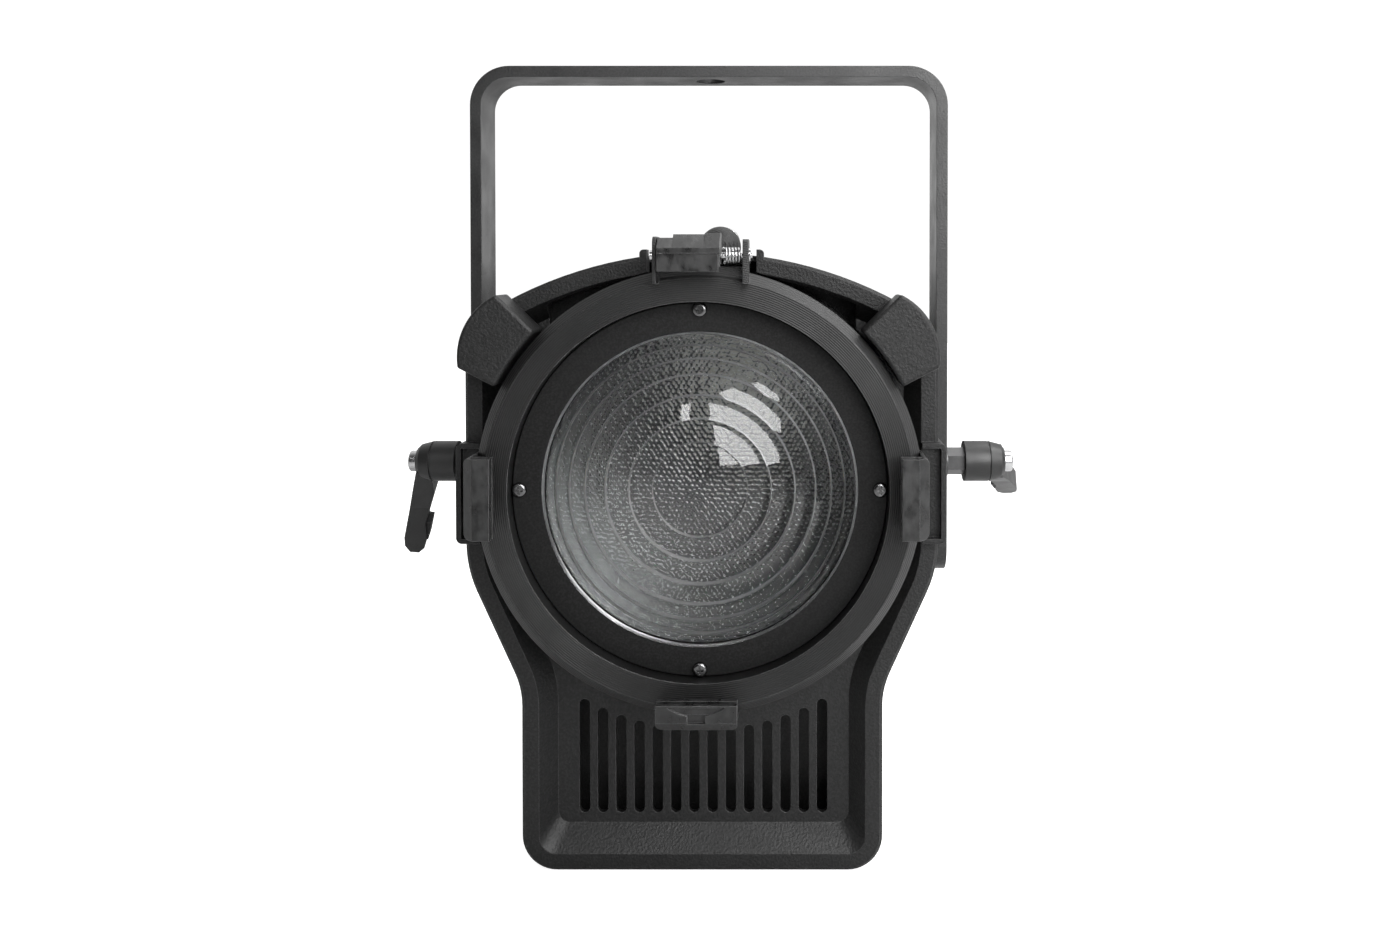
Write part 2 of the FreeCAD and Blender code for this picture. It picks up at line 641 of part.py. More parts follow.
def lens_ring():
    seat_y = BEZEL_Y + BEZEL_THICK
    bore = LENS_R + 4.9
    shelf = LENS_R + 0.9
    ring = turned((
        (BEZEL_R + 0.3, RING_Y),
        (RING_FLAT, RING_Y),
        (RING_R, RING_Y + RING_R - RING_FLAT),
        (RING_R, RING_END_Y),
        (RING_R - 3.6, RING_END_Y),
        (RING_R - 3.6, seat_y + 9),
        (shelf, seat_y + 9),
        (shelf, seat_y + 6),
        (bore, seat_y + 6),
        (bore, seat_y),
        (BEZEL_R + 0.3, seat_y),
    ))
    ears = []
    for low, high, rise in ((-20.5, -18.7, 8.8), (21.2, 23.9, 7.6)):
        ear = block((low, high), (PIN_Y - 6.5, BEZEL_Y), (99, PIN_Z + rise))
        ears.append(rounded(ear, 4, lambda edge: runs("X", low=110)(edge)))
    rest = block((-18.7, 21.2), (RING_Y + 1, BEZEL_Y), (96, RING_R + 0.5))
    pin_hole = rod(PIN_R + 0.03, "X", (-30, 30), (PIN_Y, PIN_Z))
    screw_holes = [rod(1.5, "Y", (seat_y - 1, seat_y + 5), spot) for spot in bezel_screw_spots()]
    for degrees in HOLDER_ANGLES:
        pair = group(*(rod(1.25, "X", (RING_R - 6, RING_R + 1), (BEZEL_Y, z)) for z in HOLDER_SCREWS))
        screw_holes.append(turn_about_centre(pair, Rotation(Vector(0, 1, 0), -degrees)))
    sub_part("lens_ring", cut(fuse(ring, *ears, rest), pin_hole, *screw_holes))


def bezel_screw_spots():
    return ((SCREW_CIRCLE, 0), (0, SCREW_CIRCLE), (-SCREW_CIRCLE, 0), (0, -SCREW_CIRCLE))


def bezel():
    rear = BEZEL_Y + BEZEL_THICK
    plate = turned((
        (LENS_R + 1.2, BEZEL_Y),
        (BEZEL_R - 0.6, BEZEL_Y),
        (BEZEL_R, BEZEL_Y + 0.6),
        (BEZEL_R, rear),
        (LENS_R, rear),
        (LENS_R, BEZEL_Y + 1.2),
    ))
    holes = [rod(1.7, "Y", (BEZEL_Y - 1, rear + 1), spot) for spot in bezel_screw_spots()]
    sub_part("bezel", cut(plate, *holes))


def bezel_screws():
    screws = []
    for x, z in bezel_screw_spots():
        screws.append(cross_screw(3.6, 2.1, 1.5, 7.5, size(x), size(z), BEZEL_Y, -1))
    sub_part("bezel_screws", group(*screws))


def fresnel_lens():
    """Front: a domed centre and stepped rings. Rear: flat."""
    front = []
    inner = size(0)
    for share in LENS_STEPS:
        outer = LENS_R * share
        pieces = 5
        for i in range(pieces + 1):
            radius = inner + (outer - inner) * (i / pieces)
            rise = (outer * outer - radius * radius) / (2 * LENS_CURVE)
            front.append((radius, LENS_VALLEY_Y - rise - 0.02 * (i < pieces)))
        inner = outer
    flange = LENS_R + 4.4
    seat_y = BEZEL_Y + BEZEL_THICK
    back_y = seat_y + 4
    edge = ((inner, seat_y), (flange, seat_y), (flange, back_y), (0, back_y))
    sub_part("fresnel_lens", turned(tuple(front) + edge))


def lens_gasket():
    seat_y = BEZEL_Y + BEZEL_THICK
    sub_part("lens_gasket", tube(LENS_R + 4.7, LENS_R + 1.2, "Y", (seat_y + 4, seat_y + 6)))


def lens_barrel():
    inner = RING_R - 5.1
    outer = RING_R - 2.1
    flange_y = FRONT_END_Y - BULKHEAD - 3
    flange_r = LENS_HOLE + 0.5
    sub_part("lens_barrel", turned((
        (inner, RING_END_Y),
        (outer, RING_END_Y),
        (outer, flange_y),
        (flange_r, flange_y),
        (flange_r, flange_y + 3),
        (inner, flange_y + 3),
    )))


# ---------------------------------------------------------------- accessory holders and latch

def accessory_holder(name, degrees, notched):
    """A bracket with two channels on the ring's edge, drawn on the right and turned about the lens axis."""
    channel_wall = HOLDER_R - HOLDER_PLATE
    plate_back = HOLDER_Y + HOLDER_PLATE
    mid_front = plate_back + FRAME_GAP
    mid_back = mid_front + MID_PLATE
    saddle_end = BEZEL_Y + 4
    bracket = padded((
        (HOLDER_LIP, HOLDER_Y),
        (HOLDER_R - HOLDER_BEVEL, HOLDER_Y),
        (HOLDER_R, HOLDER_Y + HOLDER_BEVEL),
        (HOLDER_R, saddle_end),
        (RING_R - 3.5, saddle_end),
        (RING_R - 3.5, RING_Y),
        (channel_wall, RING_Y),
        (channel_wall, mid_back),
        (HOLDER_LIP, mid_back),
        (HOLDER_LIP, mid_front),
        (channel_wall, mid_front),
        (channel_wall, plate_back),
        (HOLDER_LIP, plate_back),
    ), "Z", (-HOLDER_HALF, HOLDER_HALF))
    tools = [rod(RING_R, "Y", (RING_Y, saddle_end + 1))]
    for z in HOLDER_SCREWS:
        tools.append(rod(1.3, "X", (RING_R - 6, HOLDER_R + 1), (BEZEL_Y, z)))
    if notched:
        tools += thumb_recess()
    corners = rounded(block((HOLDER_LIP, HOLDER_R), (HOLDER_Y, saddle_end), (-HOLDER_HALF, HOLDER_HALF)),
                      3, lambda edge: runs("Y")(edge) and edge.CenterOfMass.x > HOLDER_R.number - 1)
    holder = cut(common(bracket, corners), *tools)
    sub_part(name, turn_about_centre(holder, Rotation(Vector(0, 1, 0), -degrees)))


def thumb_recess():
    """A shallow scoop in the front plate, with a notch at its deepest point."""
    scoop_r = 23.6
    scoop_end = HOLDER_LIP + 5
    deep = (HOLDER_Y - 1, HOLDER_Y + 0.9)
    scoop = common(rod(scoop_r, "Y", deep, (scoop_end - scoop_r, 0)),
                   block((HOLDER_LIP + 0.9, scoop_end), deep, (-scoop_r, scoop_r)))
    notch = block((scoop_end - 0.6, HOLDER_R - HOLDER_BEVEL + 0.6), (HOLDER_Y - 1, HOLDER_Y + 2.2), (-4.1, 4.1))
    return [scoop, notch]


def holder_screws():
    screws = []
    for degrees in HOLDER_ANGLES:
        pair = []
        for z in HOLDER_SCREWS:
            head = rod(2.6, "X", (HOLDER_R, HOLDER_R + 1.4), (BEZEL_Y, z))
            shank = rod(1.25, "X", (RING_R - 5.5, HOLDER_R), (BEZEL_Y, z))
            socket = hexagon(size(2.4), "X", (HOLDER_R + 0.4, HOLDER_R + 2), (BEZEL_Y, z))
            pair.append(cut(fuse(head, shank), socket))
        screws.append(turn_about_centre(group(*pair), Rotation(Vector(0, 1, 0), -degrees)))
    sub_part("holder_screws", group(*screws))


LATCH_STEPS = ((-17.9, -10.8, 2.2), (-10.8, 3.8, 0.6), (3.8, 11, 0))


def latch():
    """The sprung flap: a lid with a sloped front, a set-back front plate, and a knuckle on the pin."""
    back_y = PIN_Y + 4.5
    lid_foot = PIN_Z + 0.9
    lid_front = PIN_Z + 3.4
    plate_y = HOLDER_Y + 1
    plate_foot = PIN_Z - 7.4
    lids = []
    for low, high, lower in LATCH_STEPS:
        lid_top = PIN_Z + 10.4 - lower
        lids.append(padded((
            (HOLDER_Y, lid_foot),
            (HOLDER_Y, lid_front),
            (PIN_Y - 5, lid_top),
            (back_y, lid_top),
            (back_y, PIN_Z - 4),
            (PIN_Y - 4.5, PIN_Z - 4),
            (plate_y + 3, PIN_Z - 5.5),
            (plate_y + 3, lid_foot),
        ), "X", (low, high)))
    plate = block((LATCH_STEPS[0][0], LATCH_STEPS[-1][1] - 0.6), (plate_y, plate_y + 3), (plate_foot, lid_foot + 0.5))
    bore = rod(PIN_R + 0.06, "X", (-30, 30), (PIN_Y, PIN_Z))
    sub_part("latch", cut(fuse(plate, *lids), bore))


def hinge_pin():
    pin = rod(PIN_R, "X", (-21, 25.6), (PIN_Y, PIN_Z))
    head = rod(2.5, "X", (-22.2, -20.5), (PIN_Y, PIN_Z))
    sub_part("hinge_pin", fuse(head, pin))


def pin_clip():
    sub_part("pin_clip", tube(3.6, PIN_R, "X", (23.95, 24.75), (PIN_Y, PIN_Z)))


def latch_spring():
    """A torsion spring round the pin, one leg on the ring's pad and one under the flap."""
    wire = 0.55
    spring = coil(3.35, wire, 7.4, 5, "X", size(12.6), (PIN_Y, PIN_Z))
    ring_leg = rod(wire, "Y", (PIN_Y, PIN_Y + 9), (20.2, PIN_Z - 3.35))
    flap_leg = rod(wire, "Y", (HOLDER_Y + 5.5, PIN_Y), (12.3, PIN_Z + 3.35))
    sub_part("latch_spring", group(spring, ring_leg, flap_leg))


# ---------------------------------------------------------------- yoke and levers

def yoke():
    half = YOKE_WIDE / 2
    outside = YOKE_IN + YOKE_THICK
    frame = block((-outside, outside), (-half, half), (-YOKE_FOOT, YOKE_TOP))
    frame = rounded(frame, YOKE_BEND + YOKE_THICK, runs("Y", low=100))
    gap = block((-YOKE_IN, YOKE_IN), (-half - 1, half + 1), (-YOKE_FOOT - 1, YOKE_TOP - YOKE_THICK))
    gap = rounded(gap, YOKE_BEND, runs("Y", low=100))
    ends = [rod(half, "X", mirrored_span(side, YOKE_IN, outside), (0, -YOKE_FOOT)) for side in (-1, 1)]
    pivot = rod(STUD_R + 0.3, "X", (-outside - 1, outside + 1))
    hole = rod(YOKE_HOLE, "Z", (YOKE_TOP - YOKE_THICK - 1, YOKE_TOP + 1))
    sub_part("yoke", cut(fuse(cut(frame, gap), *ends), pivot, hole))


def friction_washers():
    washers = [tube(15, STUD_R + 0.3, "X", mirrored_span(side, PAD_X, YOKE_IN)) for side in (-1, 1)]
    sub_part("friction_washers", group(*washers))


def pivot_inserts():
    inserts = []
    for side in (-1, 1):
        inner = UPPER_HALF - STEP_IN - SHEET_WALL
        body = rod(7, "X", mirrored_span(side, inner, PAD_X))
        flange = rod(11, "X", mirrored_span(side, inner - 8, inner))
        inserts.append(cut(fuse(body, flange), rod(STUD_R + 0.05, "X", mirrored_span(side, 100, 125))))
    sub_part("pivot_inserts", group(*inserts))


def clamp_stud(name, side):
    """Threaded stud, washer face, hexagon collar and the splined head that the lever fits."""
    outside = YOKE_IN + YOKE_THICK
    shank = rod(STUD_R, "X", mirrored_span(side, 107, COLLAR_END))
    washer = rod(9, "X", mirrored_span(side, outside, outside + 1.5))
    collar = hexagon(size(15), "X", mirrored_span(side, outside + 1.5, COLLAR_END))
    head = hexagon(size(10), "X", mirrored_span(side, COLLAR_END, COLLAR_END + 9.5))
    tapped = rod(2.5, "X", mirrored_span(side, COLLAR_END + 2, COLLAR_END + 10))
    sub_part(name, cut(fuse(shank, washer, collar, head), tapped))


def lever_screw(name, side):
    shank = rod(2.5, "X", mirrored_span(side, COLLAR_END + 2, HUB_END))
    head_end = HUB_END + 4.6
    head = rod(5.75, "X", mirrored_span(side, HUB_END, head_end))
    head = rounded(head, 1.2, lambda edge: edge.Curve.TypeId == "Part::GeomCircle"
                   and abs(abs(edge.CenterOfMass.x) - head_end.number) < 1e-6)
    socket = hexagon(size(5.8), "X", mirrored_span(side, HUB_END + 1.5, HUB_END + 6))
    sub_part(name, cut(fuse(shank, head), socket))


def lever_spring(name, side):
    start = COLLAR_END + 14
    length = HUB_END - 0.5 - start
    begin = start if side > 0 else -(start + length)
    sub_part(name, coil(4.3, 0.45, length, 4, "X", begin))


def lever_handle(side_word, side, degrees):
    """Hub with a spring pocket, and a flat arm that leans outwards to a wider tip; drawn on the right."""
    web = COLLAR_END + 9.5
    pocket = web + 4
    groove = COLLAR_END + HUB_GROOVE
    hub = turned((
        (HUB_R, COLLAR_END),
        (HUB_R, groove),
        (HUB_R - 0.8, groove),
        (HUB_R - 0.8, groove + 0.9),
        (HUB_R - 0.1, groove + 0.9),
        (HUB_R - 1.7, HUB_END - 2),
        (HUB_R - 3.6, HUB_END),
        (0, HUB_END),
        (0, COLLAR_END),
    ), axis="X")
    tip = -LEVER_REACH
    face = padded((
        (HUB_END - 9, 0),
        (HUB_END - 0.5, 0),
        (HUB_END + 4.5, -15),
        (HUB_END + 18, tip + 13),
        (HUB_END + 19, tip + 6),
        (HUB_END + 17, tip + 0.6),
        (HUB_END + 12, tip),
        (HUB_END + 8, tip + 4),
        (HUB_END + 5, tip + 13),
        (HUB_END + 3.5, tip + 25),
        (HUB_END - 6.5, -19),
    ), "Y", (-HUB_R, HUB_R))
    edge = padded((
        (-HUB_R + 1.6, 0),
        (-LEVER_HALF, -32),
        (-LEVER_HALF, tip),
        (LEVER_HALF, tip),
        (LEVER_HALF, -32),
        (HUB_R - 1.6, 0),
    ), "X", (HUB_END - 12, HUB_END + 25))
    bores = (
        rod(5.05, "X", (COLLAR_END - 1, web)),
        rod(2.7, "X", (web - 1, pocket + 1)),
        rod(6.3, "X", (pocket, HUB_END + 30)),
        lever_insert(),
    )
    handle = cut(fuse(hub, common(face, edge)), *bores)
    facing = Rotation() if side > 0 else Rotation(Vector(0, 0, 1), 180)
    turn = Rotation(Vector(1, 0, 0), degrees).multiply(facing)
    sub_part(side_word + "_lever", turn_about_centre(handle, turn))
    sub_part(side_word + "_lever_insert", turn_about_centre(group(lever_insert()), turn))


def lever_insert():
    """A soft pad let into the inner side of the lever's tip."""
    top = -LEVER_REACH + 24
    foot = -LEVER_REACH + 10
    half = LEVER_HALF - 1.2
    return padded((
        (HUB_END + 0.6, top),
        (HUB_END + 5.6, top + 1),
        (HUB_END + 9, foot + 3),
        (HUB_END + 5, foot),
    ), "Y", (-half, half))


# ---------------------------------------------------------------- lamp carriage and inside

def bulkheads():
    front_y = FRONT_END_Y - BULKHEAD
    front = cut(slab(WALL + 0.2, (front_y, FRONT_END_Y)), rod(97, "Y", (front_y - 1, FRONT_END_Y + 1)))
    sub_part("front_bulkhead", front)
    rear_y = MAIN_END_Y - 2 * BULKHEAD
    inset = STEP_IN + SHEET_WALL + 0.2
    tools = [rod(58, "Y", (rear_y - 1, rear_y + 5)), block((-70, 70), (rear_y - 1, rear_y + 5), (-178, -75))]
    for x, z in REAR_SCREWS:
        for side in (-1, 1):
            tools.append(rod(2, "Y", (rear_y - 1, rear_y + 5), (side * x, z)))
    sub_part("rear_bulkhead", cut(slab(inset, (rear_y, rear_y + BULKHEAD)), *tools))


def guide_rods():
    span = (FRONT_END_Y, MAIN_END_Y - 2 * BULKHEAD)
    sub_part("guide_rods", group(*(rod(ROD_R, "Y", span, (side * ROD_X, ROD_Z)) for side in (-1, 1))))


def carriage_plate():
    """Upright plate on the two rods, with a shelf at its top that carries the zoom knob."""
    rear = LAMP_Y + 4
    plate = padded(((-100, -60), (100, -60), (100, -30), (60, 10), (16, 96), (-16, 96), (-60, 10), (-100, -30)),
                   "Y", (LAMP_Y, rear))
    shelf = block((-12, 12), (rear, KNOB_Y + 9), (91, 96))
    tools = [rod(7, "Y", (LAMP_Y - 1, rear + 1), (side * ROD_X, ROD_Z)) for side in (-1, 1)]
    tools.append(rod(3, "Z", (85, 100), (0, KNOB_Y)))
    sub_part("carriage_plate", cut(fuse(plate, shelf), *tools))


def slide_bushes():
    bushes = [tube(7, ROD_R + 0.05, "Y", (LAMP_Y - 13, LAMP_Y + 17), (side * ROD_X, ROD_Z)) for side in (-1, 1)]
    sub_part("slide_bushes", group(*bushes))


def heat_sink():
    base_y = LAMP_Y + 4
    base = block((-50, 50), (base_y, base_y + 6), (-50, 50))
    fins = []
    for i in range(14):
        x = -49 + i * 7.4
        fins.append(block((x, x + 1.8), (base_y + 6, base_y + 6 + FIN_DEPTH), (-50, 50)))
    sub_part("heat_sink", fuse(base, *fins))


def led_module():
    board = block((-30, 30), (LAMP_Y - 1.6, LAMP_Y), (-30, 30))
    emitter = rod(17, "Y", (LAMP_Y - 3.2, LAMP_Y - 1.6))
    sub_part("led_module", fuse(board, emitter))


def reflector():
    rear = LAMP_Y - 1.6
    front = rear - 30
    sub_part("reflector", turned(((18, rear), (34, front), (35.4, front), (23, rear))))


def fan_frame():
    front = LAMP_Y + 10 + FIN_DEPTH
    rear = front + FAN_DEPTH
    case = cut(block((-FAN_HALF, FAN_HALF), (front, rear), (-FAN_HALF, FAN_HALF)),
               rod(FAN_HALF - 2.5, "Y", (front - 1, rear + 1)))
    hub = rod(16, "Y", (rear - 3, rear))
    spokes = [block((-FAN_HALF + 1, FAN_HALF - 1), (rear - 3, rear), (-2, 2)),
              block((-2, 2), (rear - 3, rear), (-FAN_HALF + 1, FAN_HALF - 1))]
    bearing = rod(2.05, "Y", (rear - 4, rear + 1))
    sub_part("fan_frame", cut(fuse(case, hub, *spokes), bearing))


def fan_rotor():
    front = LAMP_Y + 10 + FIN_DEPTH
    hub = rod(15, "Y", (front + 1, front + 15))
    shaft = rod(2, "Y", (front + 15, front + FAN_DEPTH - 0.5))
    blades = []
    count = 7
    for i in range(count):
        blade = padded(((-7, 13), (7, 13), (11, 41), (-11, 41)), "Y", (0, 1.6))
        pitch = Rotation(Vector(0, 0, 1), 32)
        turn = Rotation(Vector(0, 1, 0), 360 * i / count)
        blade.Placement = Placement(Vector(), turn.multiply(pitch).multiply(PADDED["Y"]))
        place(blade, 0, front + 8, 0)
        blades.append(blade)
    sub_part("fan_rotor", fuse(hub, shaft, *blades))


def zoom_knob():
    """A domed knob with a flat foot and a grooved grip, and the stem that holds it to the carriage."""
    dome = DOC.addObject("Part::Sphere", "dome")
    bind(dome, Radius=KNOB_R)
    place(dome, 0, KNOB_Y, KNOB_Z)
    foot = 114.5
    keep = block((-20, 20), (KNOB_Y - 20, KNOB_Y + 20), (foot, foot + 40))
    grooves = []
    count = 24
    for i in range(count):
        angle = 2 * math.pi * i / count
        x = (KNOB_R + 0.45) * math.cos(angle)
        y = KNOB_Y + (KNOB_R + 0.45) * math.sin(angle)
        grooves.append(rod(0.9, "Z", (foot - 1, foot + 9), (x, y)))
    stem_hole = rod(3, "Z", (foot - 1, foot + 9), (0, KNOB_Y))
    sub_part("zoom_knob", cut(common(dome, keep), stem_hole, *grooves))
    sub_part("zoom_stem", rod(2.95, "Z", (88, foot + 9), (0, KNOB_Y)))


def power_supply():
    """A folded sheet case with its board and wound parts inside."""
    x = (-68, 68)
    y = (-15, 120)
    z = (-186.8, -130)
    case = cut(block(x, y, z), block((x[0] + 1.2, x[1] - 1.2), (y[0] + 1.2, y[1] - 1.2), (z[0] + 1.2, z[1] - 1.2)))
    slots = [block((x[0] - 1, x[1] + 1), (y[0] + 12 + 9 * i, y[0] + 16 + 9 * i), (-165, -145)) for i in range(13)]
    board = block((-62, 62), (-10, 115), (-183, -181.4))
    coils = [block((-50 + 40 * i, -24 + 40 * i), (10, 40), (-181.4, -155)) for i in range(3)]
    cans = [rod(9, "Z", (-181.4, -150), (-45 + 30 * i, 85)) for i in range(4)]
    sub_part("power_supply", group(cut(case, *slots), fuse(board, *coils, *cans)))


def safety_eye():
    top = CROWN - CROWN_DROP - STEP_IN
    ring = DOC.addObject("Part::Torus", "ring")
    bind(ring, Radius1=8, Radius2=2.2)
    place(ring, 0, EYE_Y, top + 11, turn=Rotation(Vector(1, 0, 0), 90))
    collar = rod(6, "Z", (top, top + 2.6), (0, EYE_Y))
    stud = rod(EYE_STUD_R, "Z", (top - SHEET_WALL - 3, top), (0, EYE_Y))
    sub_part("safety_eye", fuse(ring, collar, stud))


# ---------------------------------------------------------------- rear panel

SOCKETS = (("power_inlet", -58), ("power_outlet", -20), ("data_input", 20), ("data_output", 58))
BUTTONS = ("menu_button", "up_button", "down_button", "enter_button")
SOCKET_R = 11.8
FUSE_X = 62


def button_x(index):
    return -39 + 17 * index


def rear_panel():
    plate = block((-PANEL_HALF, PANEL_HALF), (REAR_Y, REAR_Y + PANEL_THICK), (PANEL_FOOT, PANEL_TOP))
    plate = rounded(plate, 5, runs("Y"))
    behind = (REAR_Y - 1, REAR_Y + PANEL_THICK + 1)
    tools = [block((-32, 32), behind, (-92, -70))]
    tools += [rod(SOCKET_R, "Y", behind, (x, SOCKET_Z)) for _, x in SOCKETS]
    tools += [rod(BUTTON_R + 0.25, "Y", behind, (button_x(i), BUTTON_Z)) for i in range(len(BUTTONS))]
    tools.append(rod(6.5, "Y", behind, (FUSE_X, BUTTON_Z)))
    tools += [rod(1.5, "Y", behind, spot) for spot in panel_screw_spots()]
    sub_part("rear_panel", cut(plate, *tools))


def panel_screw_spots():
    return tuple((side * (PANEL_HALF - 4), z) for side in (-1, 1) for z in (PANEL_TOP - 4, size(-120), PANEL_FOOT + 4))


def panel_screws():
    face = REAR_Y + PANEL_THICK
    screws = [cross_screw(2.8, 1.7, 1.45, 4.5, size(x), size(z), face, 1) for x, z in panel_screw_spots()]
    sub_part("panel_screws", group(*screws))


def display_window():
    face = REAR_Y + PANEL_THICK
    glass = block((-34, 34), (face, face + 1.2), (-94, -68))
    sub_part("display_window", rounded(glass, 2, runs("Y")))


def buttons():
    face = REAR_Y + PANEL_THICK
    for i, name in enumerate(BUTTONS):
        cap = rod(BUTTON_R, "Y", (REAR_Y - 5, face + 2.4), (button_x(i), BUTTON_Z))
        cap = rounded(cap, 1, lambda edge: is_rim(edge, face + 2.4))
        flange = rod(BUTTON_R + 1.2, "Y", (REAR_Y - 2, REAR_Y - 0.1), (button_x(i), BUTTON_Z))
        sub_part(name, fuse(cap, flange))


def sockets():
    """Round panel sockets with a square flange and an open mouth."""
    face = REAR_Y + PANEL_THICK
    for name, x in SOCKETS:
        power = name.startswith("power")
        flange = block((x - 13, x + 13), (face, face + 2), (SOCKET_Z - 15.5, SOCKET_Z + 15.5))
        flange = rounded(flange, 2.5, runs("Y"))
        body = rod(SOCKET_R - 0.1, "Y", (face - 24, face), (x, SOCKET_Z))
        collar = rod(SOCKET_R - 0.5, "Y", (face, face + (5 if power else 3)), (x, SOCKET_Z))
        mouth = rod(9.4, "Y", (face - 14, face + 9), (x, SOCKET_Z))
        shell = cut(fuse(flange, body, collar), mouth)
        if power:
            core = tube(6, 4, "Y", (face - 14, face + 2), (x, SOCKET_Z))
            sub_part(name, fuse(shell, core))
        elif name == "data_input":
            pins = [rod(1.2, "Y", (face - 14, face - 3), spot) for spot in pin_spots(x)]
            sub_part(name, fuse(shell, *pins))
        else:
            core = rod(7.6, "Y", (face - 14, face + 1), (x, SOCKET_Z))
            holes = [rod(1.3, "Y", (face - 12, face + 2), spot) for spot in pin_spots(x)]
            sub_part(name, fuse(shell, cut(core, *holes)))


def pin_spots(x):
    circle = 4.2
    angles = [math.radians(90 + 120 * i) for i in range(3)]
    return [(x + circle * math.cos(a), SOCKET_Z + circle * math.sin(a)) for a in angles]


def fuse_holder():
    face = REAR_Y + PANEL_THICK
    body = rod(6.4, "Y", (face - 24, face), (FUSE_X, BUTTON_Z))
    cap = rounded(rod(8, "Y", (face, face + 7), (FUSE_X, BUTTON_Z)), 1.5, lambda edge: is_rim(edge, face + 7))
    slit = block((FUSE_X - 5, FUSE_X + 5), (face + 5.5, face + 8), (BUTTON_Z - 0.8, BUTTON_Z + 0.8))
    sub_part("fuse_holder", cut(fuse(body, cap), slit))


def control_board():
    """The board behind the panel, with a switch under each button."""
    y = REAR_Y - 10
    board = block((-52, 52), (y, y + 1.6), (-122, -66))
    switches = [rod(3, "Y", (y + 1.6, REAR_Y - 6.5), (button_x(i), BUTTON_Z)) for i in range(len(BUTTONS))]
    screen = block((-31, 31), (y + 1.6, REAR_Y - 0.5), (-91.5, -70.5))
    sub_part("control_board", fuse(board, screen, *switches))


# ---------------------------------------------------------------- build, check and write

def build():
    front_housing()
    main_housing()
    rear_cover()
    housing_screws()
    shoulder_blocks()
    lens_ring()
    bezel()
    bezel_screws()
    fresnel_lens()
    lens_gasket()
    lens_barrel()
    accessory_holder("right_holder", 0, False)
    accessory_holder("left_holder", 180, False)
    accessory_holder("bottom_holder", 270, True)
    holder_screws()
    latch()
    hinge_pin()
    pin_clip()
    latch_spring()
    yoke()
    friction_washers()
    pivot_inserts()
    for side, word, degrees in ((-1, "left", LEFT_LEVER_ANGLE), (1, "right", RIGHT_LEVER_ANGLE)):
        clamp_stud(word + "_clamp_stud", side)
        lever_handle(word, side, degrees)
        lever_screw(word + "_lever_screw", side)
        lever_spring(word + "_lever_spring", side)
    bulkheads()
    guide_rods()
    carriage_plate()
    slide_bushes()
    heat_sink()
    led_module()
    reflector()
    fan_frame()
    fan_rotor()
    zoom_knob()
    power_supply()
    safety_eye()
    rear_panel()
    panel_screws()
    display_window()
    buttons()
    sockets()
    fuse_holder()
    control_board()


def check():
    problems = [obj.Name for obj in DOC.Objects if "Invalid" in obj.State or "Error" in obj.State]
    for name, obj in SUB_PARTS:
        if obj.Shape.isNull() or not obj.Shape.isValid() or not obj.Shape.Solids:
            problems.append(name)
    if problems:
        raise RuntimeError("not built: " + ", ".join(problems))


def write():
    os.makedirs("parts", exist_ok=True)
    for name, obj in SUB_PARTS:
        obj.Shape.exportStep("parts/%s.step" % name)
    print("%d sub-parts" % len(SUB_PARTS))


build()
DOC.recompute()
check()
write()
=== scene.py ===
"""Fresnel spotlight: materials, lens, camera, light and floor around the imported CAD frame."""

import json
import math

import bpy
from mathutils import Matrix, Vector


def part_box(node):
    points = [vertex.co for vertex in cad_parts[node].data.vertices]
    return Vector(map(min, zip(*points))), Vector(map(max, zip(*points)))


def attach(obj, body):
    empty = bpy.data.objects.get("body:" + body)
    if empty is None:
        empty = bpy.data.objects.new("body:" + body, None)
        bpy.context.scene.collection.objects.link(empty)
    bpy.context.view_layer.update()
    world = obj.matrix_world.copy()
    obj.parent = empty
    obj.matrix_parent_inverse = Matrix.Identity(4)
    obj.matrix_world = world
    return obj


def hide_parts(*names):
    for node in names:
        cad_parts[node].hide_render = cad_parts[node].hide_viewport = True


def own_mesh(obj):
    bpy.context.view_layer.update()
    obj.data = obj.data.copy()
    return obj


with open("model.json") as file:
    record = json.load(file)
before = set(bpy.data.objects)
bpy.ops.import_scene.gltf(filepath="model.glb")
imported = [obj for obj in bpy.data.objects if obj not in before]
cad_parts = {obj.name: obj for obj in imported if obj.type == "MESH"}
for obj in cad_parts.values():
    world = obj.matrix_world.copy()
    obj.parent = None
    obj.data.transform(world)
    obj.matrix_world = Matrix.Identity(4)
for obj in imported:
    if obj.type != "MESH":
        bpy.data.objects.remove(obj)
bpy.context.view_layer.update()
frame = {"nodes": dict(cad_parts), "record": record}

MM = 0.001
NODES = frame["nodes"]
LENS_LOW, LENS_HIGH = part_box("fresnel_lens")
AXIS_Z = (LENS_LOW.z + LENS_HIGH.z) / 2
SLOT_OF = {part["node"]: part["material_slot"] for part in frame["record"]["subparts"]}


# ---------------------------------------------------------------- camera, light and floor

CAMERA_AT = (0.0409, -0.6372, 0.2968)
CAMERA_PITCH = math.radians(89)
SENSOR_WIDTH = 36
FOCAL_LENGTH = 29.8
SHIFT_X = -0.0609
SHIFT_Y = -0.1267


def camera():
    """Stands a little right of the lens and above its axis, tipped one degree down."""
    data = bpy.data.cameras.new("camera")
    data.sensor_width = SENSOR_WIDTH
    data.lens = FOCAL_LENGTH
    data.shift_x = SHIFT_X
    data.shift_y = SHIFT_Y
    data.clip_start = 0.01
    obj = bpy.data.objects.new("camera", data)
    obj.location = CAMERA_AT
    obj.rotation_euler = (CAMERA_PITCH, 0, 0)
    bpy.context.scene.collection.objects.link(obj)
    bpy.context.scene.camera = obj


